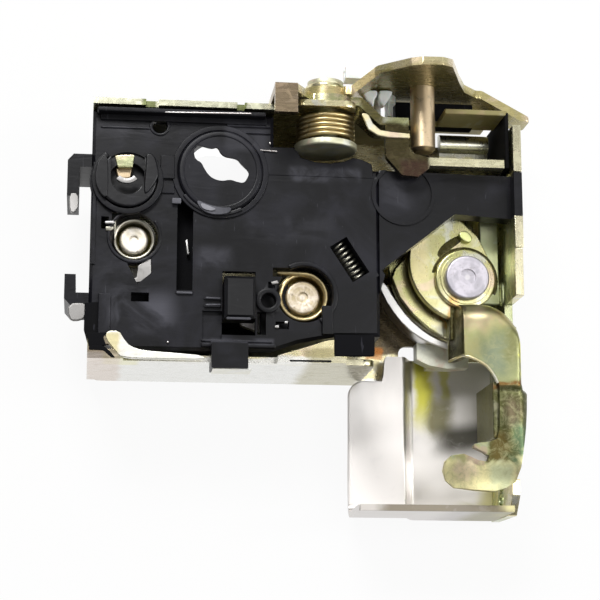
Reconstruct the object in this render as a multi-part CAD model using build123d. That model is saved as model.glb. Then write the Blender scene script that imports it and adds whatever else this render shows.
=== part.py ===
from build123d import *
import os
from math import atan2, degrees

# Side-door latch: a pressed case, a moulded cover and the levers, springs and claw that they carry.
# +X points out through the shut face, +Y is up in the door, +Z points to the inner trim.
# The origin is the middle of the two case screws, on the outside of the face plate.

os.makedirs("parts", exist_ok=True)

# ---- case, mm ----
case_sheet = 1.5
case_depth = 32.0
case_left = -103.7
case_top = 31.0
case_bottom = -32.0
lug_right = -41.0
lug_front = 20.5
flange_right = -36.0
bottom_flange_front = 13.5
face_sheet = 2.0
screw_pitch = 22.0
screw_radius = 3.0
lower_screw_y = -60.9
lower_screw_z = -5.0
lower_screw_radius = 2.5
arm_seat = 9.0
mouth_top = -34.0
mouth_bottom = -57.5
mouth_floor = -8.0
claw_step_y = -14.4
claw_step = 0.6

# ---- striker tray, mm ----
tray_left = -38.5
tray_bottom = -66.0
tray_step = 6.0
tray_lip_front = 8.5
tray_lip_lean = 0.4
pocket_left = -24.5

# ---- cover, mm ----
cover_front = 12.0
cover_wall = 2.2
cover_right = -34.5
arm_top = 16.4
arm_bottom = 5.2
arm_rear = 7.0

# ---- levers and pivots, mm ----
lever_sheet = 2.0
claw_sheet = 2.5
bore_gap = 0.05
side_gap = 0.3
claw_x, claw_y = -12.6, -9.1
claw_pin_radius = 4.0
claw_head_radius = 5.4
claw_collar_radius = 7.5
claw_rear = 4.0
release_rear = -4.0
left_x, left_y = -93.3, -1.9
left_pin_radius = 2.0
left_head_radius = 3.4
middle_x, middle_y = -52.7, -14.9
middle_pin_radius = 2.5
middle_head_radius = 4.1
lever_rear = -3.0
pin_head_front = 8.6
pin_head_height = 2.0
top_x, top_z = -47.5, 11.5
top_pin_radius = 3.0
disc_radius = 7.6
disc_height = 1.6

# ---- springs, mm ----
left_spring_radius = 4.9
left_spring_wire = 1.0
middle_spring_radius = 5.9
middle_spring_wire = 1.2
claw_spring_radius = 8.4
claw_spring_wire = 1.6
top_spring_radius = 7.2
top_spring_wire = 1.1
detent_wire = 0.7
detent_radius = 2.2
detent_length = 10.0
detent_turns = 6
groove_depth = 0.3
leg_inset = 0.7

# ---- locking pieces, mm ----
key_x, key_y = -73.1, 14.6
key_radius = 9.5
key_hole_radius = 3.5
key_slot_reach = 6.7
key_slot_half = 1.8
knob_x, knob_y = -95.2, 11.8
knob_radius = 6.9
knob_flange = 0.6
knob_well = 4.0
knob_crank = 2.0
dial_front = 14.0
dial_flange = 1.2
dial_step = 0.8
dial_lip = 0.6
slider_left, slider_right = -72.0, -64.7
slider_bottom, slider_top = -21.7, -11.6
slider_down, slider_up = 3.0, 1.5
slider_front = 16.0
drive_radius = 1.2
drive_gap = 0.3
lock_drive_x, transfer_drive_x = -72.4, -65.5

# ---- odd places and heights, mm ----
guard_x, guard_y = -8.8, -1.4
guard_radius = 23.2
guard_start, guard_end = 198.0, 258.0
guard_front = -5.0
stop_rear, stop_front = -9.0, -4.5
tab_gap = 2.2
tab_left, tab_right = -61.2, -55.8
washer_radius = 4.9
disc_y = 20.6
spring_seat = 2.4
detent_x, detent_y = -41.8, -6.0
detent_angle = -57.0
cradle_floor = 6.6
guide_reach = 5.7
guide_rear = -6.0
guide_front = 12.0
dial_rim = 1.2
key_angle = -32.0
slider_plate = 2.0
claw_web = 11.5
claw_boss = 1.5
wall_rear = -8.0
inner_rear, inner_front = 5.0, 16.4
inner_arm_rear = 6.5
inner_step_y = 26.6
inner_web_right = -27.8
clip_x, clip_z = -32.0, 4.0
clip_radius = 2.6
pusher_x, pusher_z = -23.3, 11.0
pusher_radius = 3.0
pusher_bottom = 21.6

# ---- worked out ----
rear = -case_depth / 2
front = case_depth / 2
floor = rear + case_sheet
ceiling = cover_front - cover_wall
top_inside = case_top - case_sheet
cover_top = top_inside - side_gap
guide_left = case_left - guide_reach
guard_foot = guard_y - guard_radius
inner_y = case_top + side_gap
outer_eye_y = inner_y + lever_sheet + side_gap
outer_y = outer_eye_y + 4.4
washer_y = outer_eye_y + lever_sheet + side_gap
face_inside = -face_sheet
bush_rear = lever_rear + lever_sheet + side_gap
bush_flange = spring_seat - bush_rear
drive_y = (slider_bottom + slider_top) / 2
drive_rear = lever_rear - 0.4
claw_boss_front = claw_rear + claw_sheet + claw_boss
claw_head_front = claw_boss_front + side_gap + pin_head_height


def block(x0, x1, y0, y1, z0, z1):
    return Pos((x0 + x1) / 2, (y0 + y1) / 2, (z0 + z1) / 2) * Box(x1 - x0, y1 - y0, z1 - z0)


def drum(x, y, radius, z0, z1):
    return Pos(x, y, (z0 + z1) / 2) * Cylinder(radius, z1 - z0)


def ring(x, y, outer, inner, z0, z1):
    return drum(x, y, outer, z0, z1) - drum(x, y, inner, z0 - 1, z1 + 1)


def slab(points, z0, z1, corner=0.0):
    """A flat piece from its outline, seen from the front."""
    face = make_face(Polyline(*points, close=True))
    if corner:
        face = fillet(face.vertices(), corner)
    return Pos(0, 0, z0) * extrude(face, z1 - z0)


def shelf(points, y0, y1, corner=0.0):
    """A piece lying across the door's height, from its outline in X and Z."""
    plane = Plane(origin=(0, y1, 0), x_dir=(1, 0, 0), z_dir=(0, -1, 0))
    face = make_face(Polyline(*points, close=True))
    if corner:
        face = fillet(face.vertices(), corner)
    return extrude(plane * face, y1 - y0)


def upright(x, z, radius, y0, y1):
    """A round piece whose axis runs up the door."""
    return Pos(x, (y0 + y1) / 2, z) * Rot(90, 0, 0) * Cylinder(radius, y1 - y0)


def upright_ring(x, z, outer, inner, y0, y1):
    return upright(x, z, outer, y0, y1) - upright(x, z, inner, y0 - 1, y1 + 1)


def wall(points, x0, x1):
    """A piece drawn in Y and Z and pulled along X."""
    plane = Plane(origin=(x0, 0, 0), x_dir=(0, 1, 0), z_dir=(1, 0, 0))
    return extrude(plane * make_face(Polyline(*points, close=True)), x1 - x0)


def sector(cx, cy, radius, start, end, z0, z1):
    """A pie slice with its round edge outside, angles in degrees from +X."""
    arc = CenterArc((cx, cy), radius, start, end - start)
    face = make_face([arc, Line(arc @ 1, (cx, cy)), Line((cx, cy), arc @ 0)])
    return Pos(0, 0, z0) * extrude(face, z1 - z0)


def ribbon(points, thickness, z0, z1, corner=0.0):
    """A bent strip, from the line of its lower face in X and Y, from left to right."""
    steps = [(Vector(*q) - Vector(*p)).normalized() for p, q in zip(points, points[1:])]
    normals = [Vector(-step.Y, step.X) for step in steps]
    upper = []
    for i, point in enumerate(points):
        before = normals[max(i - 1, 0)]
        after = normals[min(i, len(normals) - 1)]
        mitre = (before + after) / (1 + before.dot(after))
        upper.append(Vector(*point) + mitre * thickness)
    face = make_face(Polyline(*[Vector(*p) for p in points], *reversed(upper), close=True))
    if corner:
        bends = [v for v in face.vertices() if points[0][0] + 0.1 < v.X < points[-1][0] - 0.1]
        face = fillet(bends, corner)
    return Pos(0, 0, z0) * extrude(face, z1 - z0)


def sleeve_coil(outer, wire, pitch, turns):
    """A coil standing on Z=0, drawn as one sleeve with a groove between its turns."""
    inner = outer - wire
    waist = outer - wire * groove_depth
    points = [(inner, 0.0)]
    for turn in range(turns):
        low = pitch * turn
        points += [(waist, low), (outer, low + pitch * 0.3), (outer, low + pitch * 0.7)]
    points += [(waist, pitch * turns), (inner, pitch * turns)]
    return revolve(make_face(Plane.XZ * Polyline(*points, close=True)), Axis.Z)


def leg(start, end, wire):
    """A straight piece of spring wire between two points."""
    run = Vector(*end) - Vector(*start)
    return Plane(origin=start, z_dir=run) * Cylinder(
        wire / 2, run.length, align=(Align.CENTER, Align.CENTER, Align.MIN)
    )


# ---------- case ----------

def make_frame():
    """Back plate with the top flange, its lug for the lever pivot, and the bottom flange."""
    plate = block(case_left, face_inside, case_bottom, case_top, rear, floor)
    plate = fillet(plate.edges().filter_by(Axis.Z).group_by(Axis.X)[0], 3.0)
    top = block(case_left, lug_right, top_inside, case_top, floor, front)
    top += shelf(
        [(top_x - 9.0, front - 8), (lug_right, front - 8), (lug_right, lug_front), (top_x - 9.0, lug_front)],
        top_inside, case_top, 3.0,
    )
    for notch_left, notch_width in ((-91.2, 3.0), (-69.4, 1.8)):
        top -= block(notch_left, notch_left + notch_width, top_inside - 1, case_top + 1, front - 1.6, front + 1)
    top -= upright(top_x, top_z, top_pin_radius, top_inside - 1, case_top + 1)
    bottom_inside = case_bottom + case_sheet
    bottom = block(case_left, flange_right, case_bottom, bottom_inside, floor, bottom_flange_front)
    bottom = fillet(bottom.edges().filter_by(Axis.Y).group_by(Axis.Z)[-1], 3.0)
    left_ear = slab(
        [(case_left, bottom_inside), (-95.4, bottom_inside), (-97.2, -28.6), (-100.2, -26.4), (case_left, -26.4)],
        front - case_sheet, front,
    )
    left_ear += block(case_left, -95.4, case_bottom, bottom_inside, bottom_flange_front - 4, front)
    left_ear -= block(-102.6, -97.6, -29.8, -28.6, front - 4, front + 1)
    right_ear = slab(
        [(-59.5, bottom_inside), (-43.2, bottom_inside), (-43.2, -26.2), (-47.5, -26.6), (-53.5, -28.6)],
        front - case_sheet, front,
    )
    right_ear += block(-59.5, -43.2, case_bottom, bottom_inside, bottom_flange_front - 4, front)
    right_ear -= block(-56.5, -47.0, case_bottom - 1, bottom_inside + 1, front - 3.6, front - 2.4)
    frame = plate + top + bottom + left_ear + right_ear
    frame -= slab(
        [(-80.0, 8.6), (-65.6, 8.6), (-63.4, 16.0), (-63.4, 28.6), (-78.4, 28.6), (-80.4, 20.0)],
        rear - 1, floor + 1, 2.0,
    )
    frame -= slab([(-25.5, -27.0), (-20.0, -27.0), (-20.0, -22.0), (-25.5, -22.0)], rear - 1, floor + 1, 2.0)
    for x, y, radius in (
        (left_x, left_y, left_pin_radius),
        (middle_x, middle_y, middle_pin_radius),
        (claw_x, claw_y, claw_pin_radius),
    ):
        frame -= drum(x, y, radius, rear - 1, floor + 1)
    return frame


def make_tray():
    """Pressed tray below the case where the striker comes in, with its turned-up lip."""
    level = rear + tray_step
    skin = block(tray_left, face_inside, tray_bottom, case_bottom, level, level + case_sheet)
    skin = fillet(skin.edges().filter_by(Axis.Z).group_by(Axis.X)[0].group_by(Axis.Y)[-1], 4.0)
    skin += block(pocket_left, face_inside, tray_bottom, case_bottom, rear, level + case_sheet)
    inner_left = pocket_left + case_sheet
    skin -= block(inner_left, 1.0, tray_bottom + case_sheet, case_bottom + 1.0, floor, level + 5.0)
    bends = [
        edge for edge in skin.edges().filter_by(Axis.Y)
        if abs(edge.center().X - inner_left) < 0.01 or abs(edge.center().X - pocket_left) < 0.01
    ]
    skin = fillet(bends, 1.4)
    lip = wall(
        [
            (tray_bottom, level), (tray_bottom + case_sheet, level),
            (tray_bottom + case_sheet + tray_lip_lean, tray_lip_front),
            (tray_bottom + tray_lip_lean, tray_lip_front),
        ],
        tray_left, face_inside,
    )
    return skin + lip


def make_face_plate():
    """Shut-face plate: screw holes, the mouth for the striker and the seat of the cover arm."""
    edge = front
    profile = [
        (tray_bottom, rear), (28.0, rear), (28.0, edge), (arm_top - 0.2, edge), (arm_top - 0.2, arm_seat),
        (arm_bottom, arm_seat), (arm_bottom, edge), (-2.7, edge), (-2.7, edge - 0.8), (claw_step_y, edge - 0.8),
        (claw_step_y, claw_rear - claw_step), (mouth_top, claw_rear - claw_step), (mouth_top, mouth_floor),
        (mouth_bottom, mouth_floor), (mouth_bottom, tray_lip_front - 2), (tray_bottom + 4.5, tray_lip_front - 2),
        (tray_bottom, tray_lip_front - 6),
    ]
    plate = wall(profile, face_inside, 0)
    for y, z, radius in (
        (screw_pitch / 2, 0.0, screw_radius),
        (-screw_pitch / 2, 0.0, screw_radius),
        (lower_screw_y, lower_screw_z, lower_screw_radius),
    ):
        plate -= Pos(-face_sheet / 2, y, z) * Rot(0, 90, 0) * Cylinder(radius, face_sheet * 3)
    return plate


def make_guard():
    """Curved wall that the release sector swings inside."""
    arc = sector(guard_x, guard_y, guard_radius, guard_start, guard_end, floor, guard_front)
    arc -= drum(guard_x, guard_y, guard_radius - case_sheet, floor - 1, guard_front + 1)
    return arc


def make_claw_stop():
    """Riveted stop that the claw's rear wall comes up against."""
    stop = slab(
        [(-22.6, guard_foot + 1.7), (-22.6, guard_foot - 2.4), (-19.6, guard_foot - 3.8),
         (-14.8, guard_foot - 4.6), (-9.6, guard_foot - 4.2), (-9.6, guard_foot)],
        stop_rear, stop_front,
    )
    stop = fillet(stop.edges().filter_by(Axis.Z).group_by(Axis.Y)[0], 1.0)
    stop += block(-19.0, -12.0, guard_foot - 3.7, guard_foot - 0.2, floor, stop_rear)
    return stop


# ---------- rivets ----------

def make_pivot(x, y, radius, head, head_front):
    """Shouldered rivet: closed over behind the back plate, with a domed head in front."""
    pin = drum(x, y, radius, rear, head_front - pin_head_height)
    cap = drum(x, y, head, head_front - pin_head_height, head_front)
    cap = fillet(cap.edges().group_by(Axis.Z)[-1], 0.6)
    cap -= drum(x, y, radius * 0.5, head_front - 0.4, head_front + 1)
    return pin + cap


def make_bush(x, y, bore, radius, flange, z0, z1):
    """Flanged sleeve between a lever and its rivet head; the flange seats the spring."""
    return ring(x, y, radius, bore, z0, z1) + ring(x, y, flange, bore, z0, z0 + bush_flange)


def make_top_rivet():
    """Lever pivot under the top lug, with its broad head below."""
    pin = upright(top_x, top_z, top_pin_radius, disc_y + disc_height, washer_y + 1.1)
    head = upright(top_x, top_z, disc_radius, disc_y, disc_y + disc_height)
    head = fillet(head.edges().group_by(Axis.Y)[0], 0.5)
    cap = upright(top_x, top_z, top_pin_radius + 1.4, washer_y + 1.1, washer_y + 2.3)
    return pin + head + cap


# ---------- springs ----------

def make_left_spring():
    turns = 8
    wire = left_spring_wire
    coil = Pos(left_x, left_y, spring_seat) * sleeve_coil(left_spring_radius, wire, wire, turns)
    x = left_x - left_spring_radius + leg_inset
    z = spring_seat + wire * turns - leg_inset
    return coil + leg((x, left_y - 0.8, z), (x, left_y + 5.5, z), wire)


def make_middle_spring():
    turns = 7
    wire = middle_spring_wire
    coil = Pos(middle_x, middle_y, spring_seat) * sleeve_coil(middle_spring_radius, wire, wire, turns)
    y = middle_y + middle_spring_radius - leg_inset
    z = spring_seat + wire * turns - leg_inset
    return coil + leg((middle_x + 0.8, y, z), (middle_x - 6.6, y, z), wire)


def make_claw_spring():
    turns = 4
    coil = sleeve_coil(claw_spring_radius, claw_spring_wire, claw_spring_wire, turns)
    return Pos(claw_x, claw_y, floor) * coil


def make_top_spring():
    """Return spring of the handle levers, wound between the rivet head and the top flange."""
    seat = disc_y + disc_height
    turns = int((top_inside - seat) / top_spring_wire)
    coil = sleeve_coil(top_spring_radius, top_spring_wire, top_spring_wire, turns)
    return Pos(top_x, seat, top_z) * Rot(-90, 0, 0) * coil


def make_detent_spring():
    """Compression spring lying in the cover's cradle."""
    coil = sleeve_coil(detent_radius, detent_wire, detent_length / detent_turns, detent_turns)
    along = Pos(0, 0, cradle_floor + detent_radius) * Rot(0, 0, detent_angle) * Rot(0, 90, 0)
    return Pos(detent_x, detent_y, 0) * along * Pos(0, 0, -detent_length / 2) * coil


# ---------- cover ----------

def cover_outline(shrink=0.0):
    points = [
        (case_left, cover_top), (-60.2, cover_top), (-60.2, 19.4), (-57.6, arm_top), (cover_right, arm_top),
        (cover_right, -24.6), (-45.0, -24.8), (-54.0, -26.6), (-61.0, -29.0), (-97.0, -29.0),
        (-99.8, -25.4), (case_left, -25.4),
    ]
    face = make_face(Polyline(*points, close=True))
    if shrink:
        face = offset(face, -shrink)
    return face


def make_cover():
    """Moulded cover: an open-backed shell with wells for the pivots, dials, slider and springs."""
    shell = Pos(0, 0, floor) * extrude(cover_outline(), cover_front - floor)
    shell = chamfer(shell.edges().group_by(Axis.Z)[-1], 0.8)
    shell -= Pos(0, 0, floor - 1) * extrude(cover_outline(cover_wall), ceiling - floor + 1)
    # arm to the shut face, clipped over the edge of the face plate
    arm = slab(
        [(cover_right, arm_top), (face_inside, arm_top - 0.4), (face_inside, arm_bottom), (-15.9, 6.0),
         (cover_right, -8.8)],
        arm_rear, cover_front,
    )
    shell += arm + block(face_inside, 0, arm_bottom, arm_top - 0.4, arm_seat, front)
    shell += slab([(cover_right, -7.6), (-33.2, -9.6), (cover_right, -14.0)], arm_rear, cover_front)
    gate_mark = ring(-28.6, 10.6, 7.8, 7.0, cover_front, cover_front + 0.4)
    shell += gate_mark & block(-40.0, -15.0, 0.0, arm_top, cover_front - 1, cover_front + 1)
    # dials
    for x, y, radius in ((key_x, key_y, key_radius), (knob_x, knob_y, knob_radius)):
        shell += drum(x, y, radius + 2.0, ceiling, cover_front)
        shell -= drum(x, y, radius + 0.1, ceiling - 1, cover_front + 1)
    flange_room = knob_radius + knob_flange + side_gap
    shell -= drum(knob_x, knob_y, flange_room, ceiling - dial_rim - 2 * side_gap, ceiling)
    # spring wells
    shell -= drum(left_x, left_y, left_spring_radius + 0.8, ceiling - 1, cover_front + 1)
    shell -= drum(middle_x, middle_y, middle_spring_radius + 0.9, ceiling - 1, cover_front + 1)
    shell -= block(middle_x - 7.6, middle_x, middle_y + 4.2, middle_y + 6.4, ceiling - 1, cover_front + 1)
    shell -= block(left_x - 5.4, left_x - 3.0, left_y, left_y + 6.2, ceiling - 1, cover_front + 1)
    # windows onto the levers
    for x0, x1, y0, y1 in (
        (-101.2, -99.4, -0.2, 2.8), (-93.8, -89.6, -17.6, -15.4), (-83.2, -79.4, -14.6, 7.4),
        (-64.0, -61.9, -24.9, -19.4), (-61.4, -59.8, -13.6, -12.0), (-59.6, -56.4, -23.4, -21.6),
    ):
        shell -= block(x0, x1, y0, y1, ceiling - 1, cover_front + 1)
    shell -= slab([(-94.9, -8.4), (-89.2, -7.2), (-88.9, -10.4), (-92.4, -13.4)], ceiling - 1, cover_front + 1)
    shell -= drum(-87.7, 25.6, 1.8, ceiling - 1, cover_front + 1)
    shell += ring(-61.4, -16.7, 3.0, 1.8, cover_front, cover_front + 0.8)
    shell -= drum(-61.4, -16.7, 1.8, ceiling - 1, cover_front + 1)
    # slider track
    shell -= block(
        slider_left - 0.3, slider_right + 0.3, slider_bottom - slider_down - 0.4, slider_top + slider_up + 0.4,
        ceiling - 1, cover_front + 1,
    )
    for y in (-16.5, -18.3):
        shell += block(-76.6, slider_left - 0.9, y - 0.3, y + 0.3, cover_front, cover_front + 0.8)
    shell -= block(-77.0, slider_left - 0.3, -26.4, -19.4, cover_front - 1.2, cover_front + 1)
    # cradle of the detent spring
    cradle = Rot(0, 0, detent_angle) * Box(detent_length + 4.0, 2 * detent_radius + 3.4, cover_front - cradle_floor + 1.4)
    lift = (cover_front + cradle_floor - 1.4) / 2
    shell += Pos(detent_x, detent_y, lift) * cradle
    trough = Rot(0, 0, detent_angle) * Box(detent_length + 0.2, 2 * detent_radius + 0.4, cover_front)
    shell -= Pos(detent_x, detent_y, cradle_floor + cover_front / 2) * trough
    # clip over the bottom flange
    clip_top = bottom_flange_front + 0.3
    clip = block(-75.0, -66.4, case_bottom - 1.6, -27.6, clip_top, clip_top + 2.2)
    clip += block(-75.0, -66.4, case_bottom - 1.6, case_bottom - 0.1, clip_top - 5.0, clip_top)
    clip += block(-75.0, -66.4, -29.0, -27.0, cover_front, clip_top)
    shell += clip
    # rod guides on the left side
    hook_upper = [
        (case_left, 18.0), (guide_left + 1.4, 18.0), (guide_left, 16.4), (guide_left, 7.6), (guide_left + 2.8, 7.6),
        (guide_left + 2.8, 14.8), (case_left, 14.8),
    ]
    hook_lower = [
        (case_left, -18.8), (guide_left + 1.4, -18.8), (guide_left, -17.2), (guide_left, -11.4),
        (guide_left + 2.6, -11.4), (guide_left + 2.6, -15.8), (case_left, -15.8),
    ]
    shell += slab(hook_upper, guide_rear, guide_front)
    shell += slab(hook_lower, guide_rear, guide_front)
    return shell


# ---------- locking pieces ----------

def make_key_dial():
    """Key follower: a disc snapped into the cover's bore, with the slotted hole that the key bar turns."""
    disc = drum(key_x, key_y, key_radius, ceiling - side_gap, dial_front - dial_step)
    disc += drum(key_x, key_y, key_radius - dial_step, dial_front - dial_step, dial_front)
    disc = fillet(disc.edges().group_by(Axis.Z)[-1], 0.4)
    lip_rear = cover_front + side_gap
    disc += drum(key_x, key_y, key_radius + dial_lip, lip_rear, lip_rear + dial_lip)
    disc += drum(key_x, key_y, key_radius + dial_flange, ceiling - dial_rim - side_gap, ceiling - side_gap)
    slot = drum(0, 0, key_hole_radius, rear, dial_front + 1)
    slot += block(-key_slot_reach, key_slot_reach, -key_slot_half, key_slot_half, rear, dial_front + 1)
    return disc - Pos(key_x, key_y, 0) * Rot(0, 0, key_angle) * slot


def make_knob_dial():
    """Open-topped lock dial that the inside lock rod turns."""
    dial = drum(knob_x, knob_y, knob_radius, ceiling, dial_front)
    dial = fillet(dial.edges().group_by(Axis.Z)[-1], 0.5)
    dial += drum(knob_x, knob_y, knob_radius, ceiling - side_gap, ceiling)
    dial += drum(knob_x, knob_y, knob_radius + knob_flange, ceiling - dial_rim - side_gap, ceiling - side_gap)
    dial += drum(knob_x, knob_y - knob_crank, drive_radius, drive_rear, ceiling - dial_rim)
    gap = drum(0, 0, knob_well, ceiling - 0.6, dial_front + 1)
    gap += block(-knob_well, knob_well, 0, 10, ceiling - 0.6, dial_front + 1)
    return dial - Pos(knob_x, knob_y, 0) * gap


def make_knob_tongue():
    """Steel tongue in the dial's gap, where the rod hooks on."""
    tongue = block(knob_x - 2.3, knob_x + 2.3, knob_y - 0.4, knob_y + 4.6, ceiling - 0.6, ceiling + 1.4)
    return fillet(tongue.edges().filter_by(Axis.Z), 0.6)


def make_slider():
    """Lock slider with its raised thumb block."""
    top = block(slider_left, slider_right, slider_bottom, slider_top, ceiling - side_gap, slider_front)
    top = chamfer(top.faces().sort_by(Axis.Z)[-1].edges(), 0.7)
    base_rear = ceiling - side_gap - slider_plate
    base = block(
        slider_left - 1.6, slider_right + 0.4, slider_bottom + 0.6, slider_top - 0.6, base_rear, ceiling - side_gap
    )
    for x in (lock_drive_x, transfer_drive_x):
        base += drum(x, drive_y, drive_radius, drive_rear, base_rear)
    return top + base


def fork(pin_x, pin_y, pivot_x, pivot_y):
    """Open slot that points away from a lever's pivot and takes a drive pin."""
    reach = Vector(pin_x - pivot_x, pin_y - pivot_y, 0)
    angle = degrees(atan2(reach.Y, reach.X))
    half = drive_radius + drive_gap
    slot = block(-half - 0.9, 8.0, -half, half, lever_rear - 1, lever_rear + lever_sheet + 1)
    return Pos(pin_x, pin_y, 0) * Rot(0, 0, angle) * slot


def make_lock_lever():
    """Steel lever on the left rivet, forked over the lock dial's crank pin and the slider's pin."""
    lever = slab(
        [(-99.6, -2.0), (-98.8, 10.7), (-93.0, 11.8), (-90.9, 2.6), (-84.8, -3.7), (-69.2, -14.9), (-73.0, -20.3),
         (-79.6, -17.0), (-87.0, -18.6), (-95.8, -18.6), (-98.4, -8.0)],
        lever_rear, lever_rear + lever_sheet, 1.2,
    )
    lever -= fork(lock_drive_x, drive_y, left_x, left_y)
    lever -= fork(knob_x, knob_y - knob_crank, left_x, left_y)
    return lever - drum(left_x, left_y, left_pin_radius + bore_gap, lever_rear - 1, lever_rear + lever_sheet + 1)


def make_transfer_lever():
    """Steel lever on the middle rivet, forked over the slider's second pin."""
    lever = slab(
        [(-67.7, -13.6), (-60.0, -10.8), (-50.0, -8.0), (-40.0, -11.0), (-37.8, -14.6), (-46.0, -20.4),
         (-56.0, -23.4), (-61.6, -22.0), (-66.9, -20.0)],
        lever_rear, lever_rear + lever_sheet, 1.2,
    )
    lever -= fork(transfer_drive_x, drive_y, middle_x, middle_y)
    return lever - drum(middle_x, middle_y, middle_pin_radius + bore_gap, lever_rear - 1, lever_rear + lever_sheet + 1)


# ---------- claw and release sector ----------

def make_claw():
    """Hook claw: hub plate, pressed hood, column with its rear wall, and the foot."""
    hub = sector(claw_x + 1.3, claw_y + 4.6, 15.0, 112, 262, claw_rear, claw_rear + claw_sheet)
    hub += drum(claw_x, claw_y, claw_collar_radius, claw_rear, claw_boss_front)
    web_front = claw_web + claw_sheet
    hood = slab(
        [(-16.4, -29.2), (-16.4, -15.2), (-7.6, -15.2), (-3.2, -16.4), (-0.6, -20.0), (-0.6, -36.4), (-7.0, -36.4),
         (-7.9, -33.2), (-10.8, -30.8)],
        claw_rear, web_front,
    )
    hood = fillet(hood.edges().group_by(Axis.Z)[-1], 1.6)
    hood -= block(-16.4 + 2.2, -0.6 - 2.2, -40.0, -15.2 - 2.2, claw_rear - 1, claw_web)
    column = slab(
        [(-13.0, -34.0), (-0.6, -34.0), (-0.6, -50.0), (-2.2, -58.4), (-5.2, -60.6), (-16.6, -60.2), (-19.0, -58.4),
         (-19.6, -56.0), (-18.6, -53.4), (-10.4, -52.2), (-7.0, -49.0), (-7.0, -37.0)],
        claw_web, web_front, 1.0,
    )
    rear_wall = block(-9.2, -6.7, -48.6, -35.6, wall_rear, claw_web + 1.2)
    return hub + hood + column + rear_wall - drum(claw_x, claw_y, claw_pin_radius + bore_gap, claw_rear - 1, claw_rear + 9)


def make_release_sector():
    """Release sector behind the claw, with the arm up to the pusher pin and its rolled pad."""
    front_face = release_rear + lever_sheet
    plate = sector(-10.5, -3.5, 19.2, 150, 262, release_rear, front_face)
    plate += drum(claw_x, claw_y, 7.5, release_rear, front_face)
    plate += slab(
        [(-24.6, 7.4), (-28.0, 2.0), (-12.0, -9.0), (-6.4, -6.0), (-5.4, 8.0), (-4.2, 23.0), (-4.2, 28.6),
         (-16.6, 28.6), (-16.6, 22.0), (-12.2, 12.0)],
        release_rear, front_face, 1.5,
    )
    pad = Pos(-10.4, 28.0, front_face - 1.0) * Rot(0, 90, 0) * Cylinder(2.6, 12.4)
    plate += pad & block(-17, -4, 20, 40, release_rear, front_face + 4)
    plate += drum(claw_x, claw_y + 10.4, 1.5, front_face, front_face + 3.0)
    return plate - drum(claw_x, claw_y, claw_pin_radius + bore_gap, release_rear - 1, front_face + 5)


# ---------- top levers ----------

def make_inner_lever():
    """Lower top lever: eye and stop tab on the left, a step down to the web, then the release arm."""
    eye = upright(top_x, top_z, 7.4, inner_y, inner_y + lever_sheet)
    tab_rear = lug_front + tab_gap
    tab_front = tab_rear + lever_sheet
    strip = ribbon(
        [(-55.8, inner_y), (-40.0, inner_y), (-35.0, inner_step_y), (inner_web_right, inner_step_y)],
        lever_sheet, inner_rear, inner_front, 1.5,
    )
    tab = wall(
        [(inner_y - 5.0, tab_rear), (inner_y + 2.2, tab_rear), (inner_y + 2.2, tab_front), (inner_y - 5.0, tab_front)],
        tab_left, tab_right,
    )
    neck = shelf(
        [(tab_left, 8.0), (-53.0, 4.0), (-50.0, 16.0), (tab_right, tab_front), (tab_left, tab_front)],
        inner_y, inner_y + lever_sheet,
    )
    web_rear = inner_front - lever_sheet
    web = slab(
        [(-33.6, inner_step_y + 0.5), (inner_web_right, inner_step_y + 0.5), (inner_web_right, 20.0), (-23.0, 18.8),
         (-22.8, 16.2), (-25.6, 13.9), (-29.6, 14.2), (-33.4, 18.6)],
        web_rear, inner_front, 1.2,
    )
    arm = block(-25.2, -4.4, arm_top + 0.4, arm_top + 0.4 + lever_sheet, inner_arm_rear, inner_front)
    lever = eye + strip + tab + neck + web + arm
    return lever - upright(top_x, top_z, top_pin_radius + bore_gap, inner_y - 1, inner_y + 8)


def make_outer_lever():
    """Upper top lever: a bent plate from the eye to the end tab above the face plate."""
    strip = ribbon(
        [(-56.0, outer_eye_y), (-41.5, outer_eye_y), (-35.5, outer_y), (-7.5, outer_y), (5.4, outer_y - 6.7)],
        lever_sheet, -10.0, 40.0, 1.5,
    )
    plan = shelf(
        [(-44.0, 17.4), (-42.0, 18.0), (-36.6, 20.4), (-29.0, 27.4), (-26.4, 28.6), (-21.6, 28.8), (-19.0, 27.4),
         (-15.2, 16.6), (-12.4, 9.6), (-8.6, 5.6), (5.2, 5.0), (5.2, -2.6), (-8.0, -4.6), (-28.0, -4.6),
         (-38.0, -1.0), (-44.0, 5.6)],
        outer_eye_y - 1, outer_y + 6, 1.0,
    )
    plan += upright(top_x, top_z, 6.2, outer_eye_y - 1, outer_y + 6)
    lever = strip & plan
    lever -= upright(clip_x, clip_z, clip_radius, outer_y - 2, outer_y + 5)
    lever -= upright(pusher_x, pusher_z, pusher_radius - 1, outer_y - 2, outer_y + 5)
    return lever - upright(top_x, top_z, top_pin_radius + bore_gap, outer_eye_y - 1, outer_eye_y + 4)


def make_pusher_pin():
    """Riveted pin hanging from the upper lever."""
    pin = upright(pusher_x, pusher_z, pusher_radius, pusher_bottom, outer_y)
    pin = chamfer(pin.edges().group_by(Axis.Y)[0], 0.9)
    neck = upright(pusher_x, pusher_z, pusher_radius - 1, outer_y, outer_y + lever_sheet)
    cap = upright(pusher_x, pusher_z, pusher_radius + 0.6, outer_y + lever_sheet, outer_y + lever_sheet + 1.0)
    return pin + neck + cap


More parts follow.
